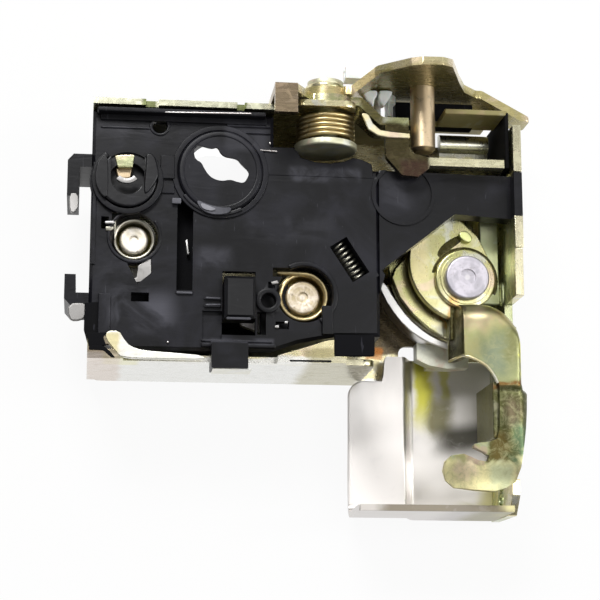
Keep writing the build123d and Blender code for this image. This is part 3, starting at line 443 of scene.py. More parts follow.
# each finish: its maker, what differs from the maker's own look, then the maker's other values
finishTable = {
    "caseZinc": (platedZinc, {"olive": rgb(0.5, 0.5, 0.28)}, 0.0, caseZones),
    "plateZinc": (platedZinc, {"olive": rgb(0.4, 0.46, 0.22), "brush": (2.2, 0.25, 2.2)}, 61.0, plateZones),
    "leverZinc": (platedZinc, {}, 37.0, leverZones),
    # outerZinc: a darker copy of the plating, painted shade for the outer lever's front edge and underside
    "outerZinc": (platedZinc, {"metal": 0.6, "straw": rgb(0.46, 0.4, 0.18), "grey": rgb(0.4, 0.38, 0.28)},
        11.0, outerZones),
    "clawZinc": (platedZinc, {
        "straw": rgb(0.5, 0.44, 0.22), "olive": rgb(0.26, 0.26, 0.11), "grey": rgb(0.28, 0.33, 0.28),
        "rose": rgb(0.5, 0.36, 0.26), "stain": rgb(0.36, 0.36, 0.2), "mottle": 0.5, "grain": 1.5,
        "rough": 0.4, "wobble": 7.0,
    }, 83.0, clawZones),
    "sectorZinc": (platedZinc, {
        "straw": rgb(0.72, 0.68, 0.36), "olive": rgb(0.56, 0.56, 0.24), "stain": rgb(0.4, 0.36, 0.14),
        "rough": 0.27, "brush": (2.4, 0.3, 2.4), "grain": 0.15, "mottle": 0.25,
    }, 121.0, hubZones),
    "tongueZinc": (platedZinc, {"straw": rgb(0.8, 0.82, 0.55), "olive": rgb(0.7, 0.74, 0.42)}, 5.0, [
        area((0.3, 0.24, 0.06), y=(10, 15.2), soft=1.0, amount=0.9)]),
    "stopZinc": (platedZinc, {
        "metal": 0.25, "straw": rgb(0.92, 0.92, 0.78), "olive": rgb(0.78, 0.8, 0.66), "rough": 0.4}, 9.0),
    "brightZinc": (brightZinc, {}),
    "trayZinc": (trayZinc, {}),
    "dullZinc": (brightZinc, {
        "base": rgb(0.5, 0.49, 0.48), "blush": rgb(0.3, 0.29, 0.28), "haze": rgb(0.1, 0.1, 0.1),
        "rough": 0.42}),
    # sleeveZinc: a lighter, less metallic copy of the plating, painted light for bushes deep in their wells
    "sleeveZinc": (platedZinc, {
        "straw": rgb(0.8, 0.7, 0.26), "olive": rgb(0.6, 0.55, 0.16), "metal": 0.4, "rough": 0.35}, 31.0),
    "creamZinc": (platedZinc, {
        "straw": rgb(0.9, 0.89, 0.83), "olive": rgb(0.86, 0.85, 0.76), "rose": rgb(0.9, 0.86, 0.82),
        "grey": rgb(0.86, 0.86, 0.84), "rough": 0.4,
    }, 43.0, [area((0.7, 0.6, 0.24), x=(-100, -96.4), y=(-31, -26), soft=1.6, amount=0.7)]),
    "discZinc": (platedZinc, {"straw": rgb(0.72, 0.7, 0.5), "olive": rgb(0.5, 0.52, 0.4), "rough": 0.5},
        17.0),
    # sheetZinc: a lighter copy of the plating, painted light for sheets that sit in the cover's shade
    "sheetZinc": (platedZinc, {
        "straw": rgb(0.8, 0.84, 0.56), "olive": rgb(0.6, 0.66, 0.4), "rose": rgb(0.68, 0.7, 0.46),
        "grey": rgb(0.76, 0.84, 0.68), "rough": 0.45, "brush": (2.4, 0.3, 2.4)}, 23.0),
    # darkZinc: near-black plating, painted shadow in the hub's notch and round the boss
    "darkZinc": (platedZinc, {
        "straw": rgb(0.05, 0.045, 0.015), "olive": rgb(0.04, 0.035, 0.01), "rose": rgb(0.06, 0.04, 0.02),
        "grey": rgb(0.05, 0.05, 0.04)}, 3.0),
    # edgeZinc: pale plating for painted highlights along edges
    "edgeZinc": (platedZinc, {"straw": rgb(0.86, 0.78, 0.52), "olive": rgb(0.7, 0.62, 0.32), "rough": 0.35},
        53.0),
    # underZinc: dark olive plating, painted shade for the sheets under the levers
    "underZinc": (platedZinc, {
        "straw": rgb(0.3, 0.25, 0.09), "olive": rgb(0.22, 0.19, 0.07), "rose": rgb(0.3, 0.22, 0.12),
        "grey": rgb(0.3, 0.28, 0.18), "metal": 0.2, "rough": 0.5}, 71.0),
    "tabZinc": (platedZinc, {"straw": rgb(0.8, 0.84, 0.36), "olive": rgb(0.6, 0.66, 0.2), "rough": 0.3}, 8.0),
    "coverPlastic": (blackPlastic, {}, 1.0, hazeZones),
    "deepPlastic": (blackPlastic, {"worn": rgb(0.005, 0.005, 0.005), "rough": 0.7, "shine": 0.1}),
    # wornPlastic: lighter grey plastic, painted highlights on ridges, ledges and edges
    "wornPlastic": (blackPlastic, {"base": rgb(0.06, 0.06, 0.07), "worn": rgb(0.14, 0.14, 0.16)}),
    "slidePlastic": (blackPlastic, {"shine": 0.4}, 0.5),
    "shinePlastic": (blackPlastic, {"base": rgb(0.1, 0.1, 0.12), "worn": rgb(0.4, 0.4, 0.43), "shine": 0.6}),
    "plainWire": (wireSteel, {}),
    "goldWire": (wireSteel, {"base": rgb(0.62, 0.5, 0.26)}),
    "darkWire": (wireSteel, {"base": rgb(0.3, 0.29, 0.24)}),
    "pinBronze": (wireSteel, {"base": rgb(0.66, 0.52, 0.34), "rough": 0.32}),
    "clawHead": (rivetSteel, {"base": rgb(0.45, 0.43, 0.47), "worn": rgb(0.62, 0.59, 0.64)}, (-12.6, -9.1),
        1.7),
    "leftHead": (rivetSteel, {"base": rgb(0.74, 0.68, 0.56), "worn": rgb(0.94, 0.9, 0.84)}, (-93.3, -1.9)),
    "middleHead": (rivetSteel, {}, (-52.7, -14.9), 1.3),
    "whiteNylon": (whiteNylon, {}),
    # litNylon: white nylon that glows, painted light
    "litNylon": (whiteNylon, {"glow": 0.85}),
}
looks = {
    platedZinc: zincLook, brightZinc: brightLook, trayZinc: trayLook, blackPlastic: plasticLook,
    wireSteel: wireLook, rivetSteel: rivetLook, whiteNylon: nylonLook,
}
finishes = {}
for name, (maker, changes, *details) in finishTable.items():
    finishes[name], shade = newMaterial(name)
    maker(shade, {**looks[maker], **changes}, *details)
print("finishes made:", len(finishes))

nodeFinish = {
    "case_frame": "caseZinc", "face_plate": "plateZinc", "striker_tray": "trayZinc",
    "claw_guard": "brightZinc", "claw_stop": "stopZinc", "housing_cover": "coverPlastic",
    "claw_rivet": "clawHead", "left_rivet": "leftHead", "middle_rivet": "middleHead",
    "top_rivet": "discZinc", "top_washer": "leverZinc", "left_bush": "sleeveZinc",
    "middle_bush": "sleeveZinc", "left_lever_spacer": "brightZinc", "middle_lever_spacer": "brightZinc",
    "claw_rear_spacer": "brightZinc", "claw_front_spacer": "brightZinc", "key_dial": "coverPlastic",
    "knob_dial": "slidePlastic", "knob_tongue": "tongueZinc", "lock_slider": "slidePlastic",
    "lock_lever": "brightZinc", "transfer_lever": "brightZinc", "hook_claw": "clawZinc",
    "release_sector": "sectorZinc", "inner_lever": "leverZinc", "outer_lever": "outerZinc",
    "pusher_pin": "pinBronze", "rod_clip": "whiteNylon",
}
edgeRounding = {
    "housing_cover": 0.35, "lock_slider": 0.4, "key_dial": 0.3, "knob_dial": 0.3, "outer_lever": 0.4,
    "inner_lever": 0.4, "release_sector": 0.35, "rod_clip": 0.3,
}


def roundEdges(part, width, segments=2, angle=32):
    bevel = part.modifiers.new("edges", "BEVEL")
    bevel.width = mm(width)
    bevel.segments = segments
    bevel.limit_method = "ANGLE"
    bevel.angle_limit = math.radians(angle)
    bevel.use_clamp_overlap = True
    part.modifiers.new("smooth", "WEIGHTED_NORMAL").keep_sharp = False


def dress(nodeName, finishName):
    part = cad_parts[nodeName]
    for slot in part.material_slots:
        slot.material = finishes[finishName]
    part.modifiers.new("weld", "WELD").merge_threshold = mm(0.002)
    roundEdges(part, edgeRounding.get(nodeName, 0.2))


for nodeName, finishName in nodeFinish.items():
    dress(nodeName, finishName)
print("nodes dressed:", len(nodeFinish))


def addPiece(name, data, finishName, body="case", nodes=()):
    data.materials.append(finishes[finishName])
    piece = bpy.data.objects.new(name, data)
    scene.collection.objects.link(piece)
    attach(piece, body)
    if nodes:
        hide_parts(*nodes)
    return piece


def meshOf(name, work, turned=True):
    if turned:
        bmesh.ops.recalc_face_normals(work, faces=work.faces)
    mesh = bpy.data.meshes.new(name)
    work.to_mesh(mesh)
    work.free()
    for face in mesh.polygons:
        face.use_smooth = True
    return mesh


def thicken(piece, thickness, rounding):
    # the sheet's thickness goes to the back
    solid = piece.modifiers.new("sheet", "SOLIDIFY")
    solid.thickness = mm(thickness)
    solid.offset = -1.0
    roundEdges(piece, rounding, 2, 50)


def wall(work, a, b):
    # faces between two closed rings of vertices
    for i in range(len(a)):
        j = (i + 1) % len(a)
        work.faces.new((a[i], a[j], b[j], b[i]))


def slabPiece(name, outline, low, high, finishName, rounding=0.25, body="case", nodes=(), axis="Z"):
    # a flat piece from its outline, rounded at its edges
    work = bmesh.new()

    def ring(h):
        places = {"Z": [(u, v, h) for u, v in outline], "Y": [(u, h, v) for u, v in outline],
            "X": [(h, u, v) for u, v in outline]}
        return [work.verts.new(mm(*place)) for place in places[axis]]

    bottom, top = ring(low), ring(high)
    work.faces.new(bottom)
    work.faces.new(top)
    wall(work, bottom, top)
    piece = addPiece(name, meshOf(name, work), finishName, body, nodes)
    roundEdges(piece, rounding, 3, 25)
    return piece


def boxOutline(x0, x1, y0, y1):
    return [(x0, y0), (x1, y0), (x1, y1), (x0, y1)]


def arcPoints(cx, cy, radius, start, end, steps=24):
    spread = [math.radians(start + (end - start) * i / steps) for i in range(steps + 1)]
    return [(cx + radius * math.cos(a), cy + radius * math.sin(a)) for a in spread]


def softOutline(points, rounds=2):
    # corner cutting, so that a drawn outline turns into a smooth one
    for _ in range(rounds):
        cut = []
        for i, (x0, y0) in enumerate(points):
            x1, y1 = points[(i + 1) % len(points)]
            cut.append((x0 * 0.75 + x1 * 0.25, y0 * 0.75 + y1 * 0.25))
            cut.append((x0 * 0.25 + x1 * 0.75, y0 * 0.25 + y1 * 0.75))
        points = cut
    return points


def ringPiece(name, centre, outer, inner, low, high, finishName, rounding=0.2, start=0, end=360, body="case"):
    # a ring, or part of one, between two radii
    steps = 64
    outside = arcPoints(*centre, outer, start, end, steps)
    inside = arcPoints(*centre, inner, start, end, steps)
    work = bmesh.new()
    rows = [[work.verts.new(mm(x, y, z)) for x, y in line] for line, z in
            ((outside, low), (outside, high), (inside, high), (inside, low))]
    for k in range(4):
        a, b = rows[k], rows[(k + 1) % 4]
        for i in range(steps):
            work.faces.new((a[i], a[i + 1], b[i + 1], b[i]))
    if end - start >= 360:
        bmesh.ops.remove_doubles(work, verts=work.verts, dist=mm(0.001))
    else:
        for i in (0, steps):
            work.faces.new([row[i] for row in rows])
    piece = addPiece(name, meshOf(name, work), finishName, body)
    roundEdges(piece, rounding, 2, 30)
    return piece


def smoothStep(low, high, value):
    t = min(max((value - low) / (high - low), 0.0), 1.0)
    return t * t * (3 - 2 * t)


def pressedPiece(name, outline, height, thickness, cell, finishName, rounding, body, nodes):
    # a sheet drawn in plan, cut into a fine grid and pressed to height(x, y)
    work = bmesh.new()
    work.faces.new([work.verts.new((x, y, 0)) for x, y in outline])
    for axis, normal in enumerate(((1, 0, 0), (0, 1, 0))):
        low = min(p[axis] for p in outline)
        high = max(p[axis] for p in outline)
        count = int((high - low) / cell)
        for i in range(1, count):
            at = low + (high - low) * i / count
            geometry = list(work.verts) + list(work.edges) + list(work.faces)
            bmesh.ops.bisect_plane(work, geom=geometry, plane_co=Vector(normal) * at, plane_no=normal)
    for v in work.verts:
        v.co = mm(v.co.x, v.co.y, height(v.co.x, v.co.y))
    for face in work.faces:
        if face.normal.z < 0:
            face.normal_flip()
    piece = addPiece(name, meshOf(name, work, False), finishName, body, nodes)
    thicken(piece, thickness, rounding)
    return piece


def wirePiece(name, points, wire, finishName, body="case", nodes=()):
    curve = bpy.data.curves.new(name, "CURVE")
    curve.dimensions = "3D"
    curve.bevel_depth = mm(wire / 2)
    curve.bevel_resolution = 4
    curve.use_fill_caps = True
    spline = curve.splines.new("POLY")
    spline.points.add(len(points) - 1)
    for target, point in zip(spline.points, points):
        target.co = (*mm(*point), 1.0)
    return addPiece(name, curve, finishName, body, nodes)


# coils stand along Z, or along Y where upright; tails are the steps from a coil's end to its wire's bends
coils = {
    "leftCoil": {
        "node": "left_spring", "finish": "plainWire", "centre": (-93.3, -1.9), "radius": 4.65, "wire": 0.95,
        "base": 2.95, "turns": 6.0, "pitch": 1.08, "angle": math.pi,
        "tails": [(-0.05, 2.0, 0), (-0.1, 5.0, 0.1)],
    },
    "middleCoil": {
        "node": "middle_spring", "finish": "goldWire", "centre": (-52.7, -14.9), "radius": 5.6, "wire": 1.15,
        "base": 3.05, "turns": 5.25, "pitch": 1.27, "angle": 0.0,
        "tails": [(-3.0, 0.1, 0), (-6.2, 0.1, -0.2)],
    },
    "clawCoil": {
        "node": "claw_spring", "finish": "plainWire", "centre": (-12.6, -9.1), "radius": 7.6, "wire": 1.6,
        "base": -13.7, "turns": 3.2, "pitch": 1.65, "angle": 0.0, "tails": [],
    },
    "topCoil": {
        "node": "top_spring", "finish": "goldWire", "centre": (-47.5, 11.5), "radius": 6.65, "wire": 1.1,
        "base": 22.85, "turns": 5.2, "pitch": 1.16, "angle": 0.4, "tails": [], "upright": True,
    },
}


def coilPoints(setup, steps=40):
    points = []
    for i in range(int(setup["turns"] * steps) + 1):
        turn = i / steps
        a = setup["angle"] + turn * math.tau
        lift = setup["base"] + setup["pitch"] * turn
        u, v = setup["radius"] * math.cos(a), setup["radius"] * math.sin(a)
        across, along = setup["centre"]
        upright = setup.get("upright")
        points.append((across + u, lift, along - v) if upright else (across + u, along + v, lift))
    end = points[-1]
    return points + [tuple(at + step for at, step in zip(end, tail)) for tail in setup["tails"]]


for name, coil in coils.items():
    wirePiece(name, coilPoints(coil), coil["wire"], coil["finish"], nodes=[coil["node"]])
print("springs wound:", len(coils))

detentCoil = {
    "centre": (-41.8, -6.0, 8.8), "angle": -57.0, "radius": 1.85, "wire": 0.7, "turns": 7.5, "length": 9.6,
}


def detentPoints(setup, steps=24):
    cx, cy, cz = setup["centre"]
    a = math.radians(setup["angle"])
    total = int(setup["turns"] * steps)
    points = []
    for i in range(total + 1):
        run = (i / total - 0.5) * setup["length"]
        t = i / steps * math.tau
        side, lift = setup["radius"] * math.cos(t), setup["radius"] * math.sin(t)
        along, across = run * math.cos(a) - side * math.sin(a), run * math.sin(a) + side * math.cos(a)
        points.append((cx + along, cy + across, cz + lift))
    return points


wirePiece("detentCoil", detentPoints(detentCoil), detentCoil["wire"], "darkWire", nodes=["detent_spring"])


traySheet = {
    "left": -39.3, "right": -2.0, "top": -32.0, "bottom": -66.0, "plate": -8.5, "floor": -14.5,
    "stepLeft": -25.4, "stepRight": -22.2, "lipFront": 8.5, "lean": 0.4, "bend": 1.8, "sheet": 1.5,
    "rise": 6.3, "corner": 4.0,
}


def makeTray(setup):
    # the plate runs down, turns through a bend and comes forward as the lip; the right part is drawn deeper
    columns, rows, bendRows, lipRows = 96, 60, 8, 16
    work = bmesh.new()
    inside = setup["bottom"] + setup["sheet"]
    left, upper = setup["left"] + setup["corner"], setup["top"] - setup["corner"]
    grid = []
    for i in range(columns + 1):
        x = setup["left"] + (setup["right"] - setup["left"]) * i / columns
        deep = smoothStep(setup["stepLeft"], setup["stepRight"], x)
        level = setup["plate"] + (setup["floor"] - setup["plate"]) * deep
        line = []
        for j in range(rows + 1):
            # right of the corner the plate runs up under the cover
            top = setup["top"] + setup["rise"] * smoothStep(-30.6, -29.8, x)
            y = top + (inside + setup["bend"] - top) * j / rows
            sway = 0.1 * math.sin(x * 0.31 + y * 0.17) + 0.08 * math.sin(y * 0.43 - x * 0.11)
            edge = max(0.0, left - x), max(0.0, y - upper)
            reach = math.hypot(*edge)
            px, py = x, y
            if edge[0] > 0 and edge[1] > 0 and reach > 0:
                widest = max(edge) / reach
                px = left - edge[0] * widest
                py = upper + edge[1] * widest
            flex = sway * (1 - deep * 0.8) + 0.4 * smoothStep(-42.0, -32.0, y) * deep
            line.append((px, py, level + flex))
        for j in range(1, bendRows + 1):
            a = math.radians(90 * j / bendRows)
            y = inside + setup["bend"] * (1 - math.sin(a))
            line.append((x, y, level + setup["bend"] * (1 - math.cos(a))))
        for j in range(1, lipRows + 1):
            t = j / lipRows
            z = level + setup["bend"] + (setup["lipFront"] - level - setup["bend"]) * t
            line.append((x, inside + setup["lean"] * t, z))
        grid.append([work.verts.new(mm(*p)) for p in line])
    for i in range(columns):
        for j in range(len(grid[0]) - 1):
            work.faces.new((grid[i][j], grid[i][j + 1], grid[i + 1][j + 1], grid[i + 1][j]))
    piece = addPiece("trayPressing", meshOf("trayPressing", work, False), "trayZinc", nodes=["striker_tray"])
    thicken(piece, setup["sheet"], 0.2)


makeTray(traySheet)
print("tray pressed")


clawSetup = {
    "pivot": (-12.6, -9.1), "hubRear": 4.0, "hubFront": 6.5, "front": 14.0, "sheet": 2.0, "cell": 0.45,
    "fold": -36.4, "crownLine": -20.2, "crownDepth": 4.9, "crownDrop": 7.0, "neckDrop": 9.4, "edgeDrop": 5.0,
}


def bulge(value, centre, width):
    return math.exp(-((value - centre) / width) ** 2)


def clawHeight(x, y):
    # front face of the pressing at a place in plan, with a crease where hood and column meet
    z = clawSetup["front"] - 0.5 * smoothStep(-35.6, -37.2, y)
    z += 0.3 * bulge(y, -36.3, 0.8)
    if y > clawSetup["fold"]:
        # the hood's crown curls back, and its left side turns down to the hub
        crown = y + 5.9 * max(0.0, (x + 14.0) / 13.0) ** 4
        bent = min(1.0, max(0.0, (crown - clawSetup["crownLine"]) / clawSetup["crownDepth"]))
        z -= clawSetup["crownDrop"] * (1 - math.sqrt(max(0.0, 1 - bent ** 2)))
        z -= clawSetup["neckDrop"] * smoothStep(-14.6, -16.3, x)
        z -= 0.9 * smoothStep(-8.0, -15.0, x)
    # right edges of hood and column, the column's ridge, then the foot
    z -= clawSetup["edgeDrop"] * min(1.2, max(0.0, (x + 1.9) / 2.0)) ** 3 * smoothStep(-38.0, -35.0, y)
    z -= 1.8 * max(0.0, (x + 1.6) / 2.4) ** 2 * smoothStep(-35.0, -38.0, y)
    z += 0.3 * bulge(x, -4.2, 1.1) * smoothStep(-37.0, -40.0, y) * smoothStep(-51.0, -47.0, y)
    z -= 0.9 * smoothStep(-54.0, -60.0, y) + 0.6 * smoothStep(-12.0, -19.0, x) * smoothStep(-50.0, -53.0, y)
    # slight waviness of the pressed sheet
    z += 0.12 * math.sin(x * 0.34 + y * 0.21) + 0.05 * math.sin(y * 0.7)
    return z + 0.04 * math.sin(x * 0.9 - y * 0.5)


clawOutline = [
    (-16.4, -28.9), (-16.4, -15.4), (-13.4, -15.3), (-9.6, -15.6), (-6.2, -16.5), (-3.8, -17.6),
    (-2.1, -19.2), (-1.0, -21.4), (-0.4, -24.3), (0.0, -27.2), (0.2, -32.0), (0.5, -35.6), (1.1, -36.7),
    (0.8, -41.5), (0.3, -46.2), (-0.6, -50.9), (-1.4, -55.6), (-2.6, -58.9), (-4.9, -60.3), (-7.7, -61.2),
    (-12.5, -60.9), (-17.4, -60.4), (-19.3, -58.8), (-19.9, -56.8), (-19.4, -54.4), (-18.0, -52.9),
    (-15.1, -52.5), (-11.8, -53.9), (-9.5, -54.3), (-9.1, -52.9), (-10.4, -52.0), (-12.7, -50.9),
    (-12.6, -50.2), (-11.3, -49.8), (-8.6, -49.5), (-7.0, -48.8), (-6.4, -46.3), (-6.3, -41.6),
    (-6.2, -37.0), (-6.6, -35.0), (-7.8, -32.8), (-9.4, -31.2), (-11.8, -29.8), (-13.7, -29.2),
]
pressedPiece("clawPressing", clawOutline, clawHeight, clawSetup["sheet"], clawSetup["cell"], "clawZinc",
    0.3, "claw", ["hook_claw"])
hubOutline = arcPoints(-11.3, -4.5, 15.0, 112, 262, 40)
hubOutline += [(-9.0, -16.0), (-6.0, -12.0), (-5.2, -6.0), (-9.0, 2.0)]
# flat pieces of the claw: outline, low, high, finish and rounding
clawPlates = {
    "clawHub": (hubOutline, clawSetup["hubRear"], clawSetup["hubFront"], "sectorZinc", 0.35),
    "clawRearWall": ([(-7.6, -48.6), (-7.6, -35.0), (-5.6, -35.0), (-5.6, -48.6)], -5.5, 12.4, "clawZinc",
        0.3),
    "clawSide": ([(-2.6, -36.4), (-2.6, -21.0), (-0.8, -21.0), (-0.8, -36.4)], 4.0, 10.0, "clawZinc", 0.3),
    "clawNeck": ([(-16.4, -24.0), (-16.4, -12.0), (-14.6, -12.0), (-14.6, -24.0)], 4.2, 6.6, "clawZinc", 0.3),
    # a near-black plate, painted shadow in the notch beside the boss
    "hubNotchShadow": (softOutline([(-17.6, -4.0), (-19.6, -3.2), (-18.4, -0.6), (-15.0, 1.8), (-12.0, 2.6),
        (-13.6, 0.2), (-16.4, -1.6)]), 6.3, 6.58, "darkZinc", 0.1),
    "bentTab": (softOutline([(-14.4, 2.4), (-12.2, 3.2), (-10.6, 1.2), (-11.4, -0.2), (-13.6, 0.6)], 1),
        5.4, 8.2, "tabZinc", 0.6),
}
for name, details in clawPlates.items():
    slabPiece(name, *details, body="claw")
# rings round the claw's pivot: outer and inner radius, low, high, finish, rounding and the part of a turn
clawRings = {
    "clawBoss": (7.5, 4.1, 6.4, 8.0, "sectorZinc", 0.5),
    "clawCollar": (6.3, 4.1, 7.9, 8.25, "sectorZinc", 0.15),
    # a near-black arc, painted shadow round the boss
    "bossShadowArc": (8.3, 7.3, 6.2, 6.62, "darkZinc", 0.1, -25, 168),
}
for name, details in clawRings.items():
    ringPiece(name, clawSetup["pivot"], *details, body="claw")
# sheets that show beside and behind the claw
sidePlates = {
    "sideSheet": (boxOutline(-7.6, -3.0, -14.0, 11.6), 0.6, 2.2, "sheetZinc", 0.3),
    "sideStrip": (boxOutline(-1.9, 0.1, -16.8, 12.6), -0.4, 1.0, "sheetZinc", 0.3),
    "sectorBand": ([(-26.1, -2.1), (-28.9, -5.3), (-29.8, -7.7), (-27.9, -12.6), (-24.5, -17.0),
        (-20.6, -20.4), (-17.2, -22.3), (-14.9, -22.9), (-14.9, -18.8), (-17.6, -18.0), (-20.6, -16.1),
        (-23.5, -12.7), (-25.4, -8.5), (-26.0, -5.2)], 0.2, 1.4, "sectorZinc", 0.4),
    "guardRim": (softOutline([(-32.4, -8.8), (-32.6, -9.9), (-30.1, -14.9), (-26.3, -19.7), (-21.4, -23.1),
        (-17.4, -24.5), (-14.2, -25.3), (-14.2, -24.1), (-16.9, -23.2), (-20.8, -21.3), (-25.2, -17.7),
        (-28.8, -12.8), (-31.1, -8.6)], 1), -1.4, -0.2, "brightZinc", 0.5),
}
for name, details in sidePlates.items():
    slabPiece(name, *details)
# painted highlight: a pale tube along the hood's lower edge
lipCurve = [(-16.2, -28.8), (-14.8, -28.9), (-13.4, -29.2), (-11.8, -29.9), (-10.4, -30.7), (-9.2, -31.6),
    (-8.2, -32.8), (-7.3, -34.2), (-6.7, -35.6)]
wirePiece("clawEdgeHighlight", [(x, y, clawHeight(x, y) - 0.1) for x, y in lipCurve], 0.7, "edgeZinc", "claw")
print("claw pressed")


# where raised detail starts inside the cover's face, and how round its edges are
coverFace = {"bars": 11.6, "rings": 11.7, "barEdge": 0.22, "ringEdge": 0.18, "wallEdge": 0.3}
# raised bars of the cover: left, right, bottom and top edges, then the front face
coverBars = {
    "topLedge": ((-101.8, -62.0, 26.6, 28.4), 12.7), "topShelf": ((-101.8, -90.0, 24.6, 25.2), 12.3),
    "dialBlock": ((-87.4, -84.0, 12.4, 18.2), 12.7), "dialBlockLow": ((-87.6, -84.0, 8.8, 11.4), 12.4),
    "keyRibUpper": ((-71.6, -61.0, 26.0, 26.6), 12.5), "keyRibLower": ((-68.0, -61.0, 24.4, 24.9), 12.5),
    "lowerBar": ((-77.2, -59.6, -28.2, -27.2), 13.0), "lowerStep": ((-77.2, -60.4, -26.9, -26.3), 12.5),
    "post": ((-48.6, -46.0, -24.6, -17.6), 12.9), "slotEnd": ((-83.4, -79.2, -15.6, -14.9), 12.4),
    "leftWall": ((-103.4, -102.4, -9.0, 16.0), 12.4), "footLeft": ((-101.4, -98.6, -26.6, -16.0), 13.0),
}
for name, (corners, top) in coverBars.items():
    slabPiece(name, boxOutline(*corners), coverFace["bars"], top, "coverPlastic", coverFace["barEdge"])

# walls and floors that show past the cover, and sheets of painted shade under the levers and at a corner:
# outline, low, high, finish and the axis from low to high, where they aren't dark plastic along Z
coverWalls = {
    "flangeWall": (boxOutline(-102.6, -62.4, 11.4, 15.2), 27.9, 29.15, "coverPlastic", "Y"),
    # dark olive sheets under the levers: painted shade of the levers' undersides
    "leverUnderShade": ([(-40.4, -15.9), (-20.0, -15.9), (-20.0, 1.0), (-2.6, 1.0), (-2.6, 13.4), (-18.2, 13.4),
        (-18.2, 3.4), (-40.4, 3.4)], 31.04, 32.4, "underZinc", "Y"),
    "leverUnderShadeRear": (boxOutline(-20.0, -2.6, -15.9, 1.0), 35.2, 36.0, "underZinc", "Y"),
    "leverFin": (boxOutline(-28.6, -8.8, 31.0, 37.2), -1.4, 2.8),
    "plateLining": (boxOutline(17.6, 32.0, -13.6, 13.4), -3.3, -2.3, "deepPlastic", "X"),
    "coverStep": ([(-62.6, 14.2), (-62.6, 21.3), (-54.9, 21.5), (-53.6, 19.0), (-50.0, 18.0), (-46.4, 17.8),
        (-43.0, 18.4), (-40.8, 19.4), (-38.6, 19.0), (-36.2, 17.9), (-35.8, 14.2)], 9.0, 12.12,
        "coverPlastic"),
    "slidePocket": (boxOutline(-73.0, -61.0, -21.6, -12.6), -14.45, -14.1),
    "cornerPost": ([(-104.6, -18.3), (-101.2, -18.0), (-100.6, -28.6), (-103.4, -28.8), (-104.6, -24.7)],
        11.4, 12.6),
    "skirtRight": ([(-46.2, -25.2), (-36.6, -25.2), (-36.6, -30.2), (-46.2, -30.4)], 15.2, 16.3),
    "cornerPatch": ([(-104.0, -26.0), (-99.4, -25.9), (-99.9, -27.2), (-99.2, -29.0), (-103.5, -29.4)],
        15.3, 16.08),
    "flangeSlit": ([(-56.8, -31.4), (-46.8, -31.3), (-46.8, -31.9), (-56.8, -31.9)], 15.4, 16.12),
    # cornerShade: a black curve, painted shadow below the corner post
    "cornerShade": ([(-103.4, -28.9), (-100.4, -28.8), (-98.4, -30.2), (-97.0, -31.9), (-98.2, -31.9),
        (-100.0, -30.3), (-103.4, -30.2)], 15.2, 16.1),
    "slotFloor": (boxOutline(-84.6, -78.4, -16.2, 10.4), 6.4, 7.4),
    "windowFloor": (boxOutline(-95.0, -88.6, -18.2, -14.8), 8.4, 9.4),
    "slideFloor": (boxOutline(-62.8, -56.0, -25.4, -11.4), 6.4, 7.2, "coverPlastic"),
}


def wallPiece(name, outline, low, high, finishName="deepPlastic", axis="Z"):
    slabPiece(name, outline, low, high, finishName, coverFace["wallEdge"], axis=axis)


for name, details in coverWalls.items():
    wallPiece(name, *details)

# metal seen through the cover, glints, and painted highlights on rails, a ledge and a bump: outline, low,
# high and finish
coverSpots = {
    "windowPlate": ([(-92.3, -8.9), (-90.7, -7.7), (-89.2, -6.6), (-89.1, -11.6), (-89.9, -12.9),
        (-91.8, -12.9), (-94.2, -13.3), (-94.3, -12.3), (-92.6, -11.8)], 10.4, 11.9, "dullZinc"),
    "slotSliver": ([(-81.1, -1.7), (-80.5, -1.4), (-80.0, -5.1), (-80.6, -5.3)], 7.4, 9.2, "brightZinc"),
    "railUpper": ([(-76.3, -16.2), (-72.7, -16.3), (-72.7, -16.8), (-76.3, -16.7)], 12.0, 13.0,
        "wornPlastic"),
    "railLower": ([(-76.3, -17.9), (-72.7, -17.8), (-72.7, -18.3), (-76.3, -18.4)], 12.0, 13.0,
        "wornPlastic"),
    "slotLedge": (boxOutline(-83.2, -79.4, -15.0, -15.6), 12.0, 12.7, "wornPlastic"),
    "clipLeg": ([(-100.4, 1.5), (-98.2, 1.7), (-97.8, 0.9), (-100.3, 0.8)], 11.8, 12.8, "dullZinc"),
    "clipFoot": ([(-100.2, 0.3), (-98.0, 0.2), (-98.8, -0.8), (-100.1, -0.8)], 11.8, 12.5, "plainWire"),
    "springTail": ([(-59.9, -22.7), (-58.8, -22.4), (-58.9, -23.3), (-59.9, -23.3)], 11.9, 12.6, "dullZinc"),
    "springFoot": ([(-57.6, -21.5), (-56.6, -21.4), (-56.8, -22.2), (-57.6, -22.2)], 11.9, 12.6, "dullZinc"),
    "springToe": ([(-60.9, -12.1), (-59.2, -11.6), (-58.9, -12.4), (-60.5, -12.8)], 11.6, 12.4, "dullZinc"),
    "topGlintA": ([(-63.6, 20.5), (-59.4, 20.3), (-59.4, 20.0), (-63.6, 20.2)], 12.0, 12.7, "brightZinc"),
    "topGlintB": ([(-61.5, 22.1), (-61.1, 22.6), (-60.9, 22.0), (-61.2, 21.8)], 11.9, 12.8, "brightZinc"),
    "dialBump": (boxOutline(-84.6, -82.4, 6.2, 7.6), 12.4, 13.2, "wornPlastic"),
    "lowGlint": ([(-85.3, -27.0), (-84.8, -26.9), (-84.8, -27.4), (-85.3, -27.4)], 12.0, 12.6, "brightZinc"),
}
for name, (outline, low, high, finishName) in coverSpots.items():
    slabPiece(name, outline, low, high, finishName, coverFace["barEdge"])

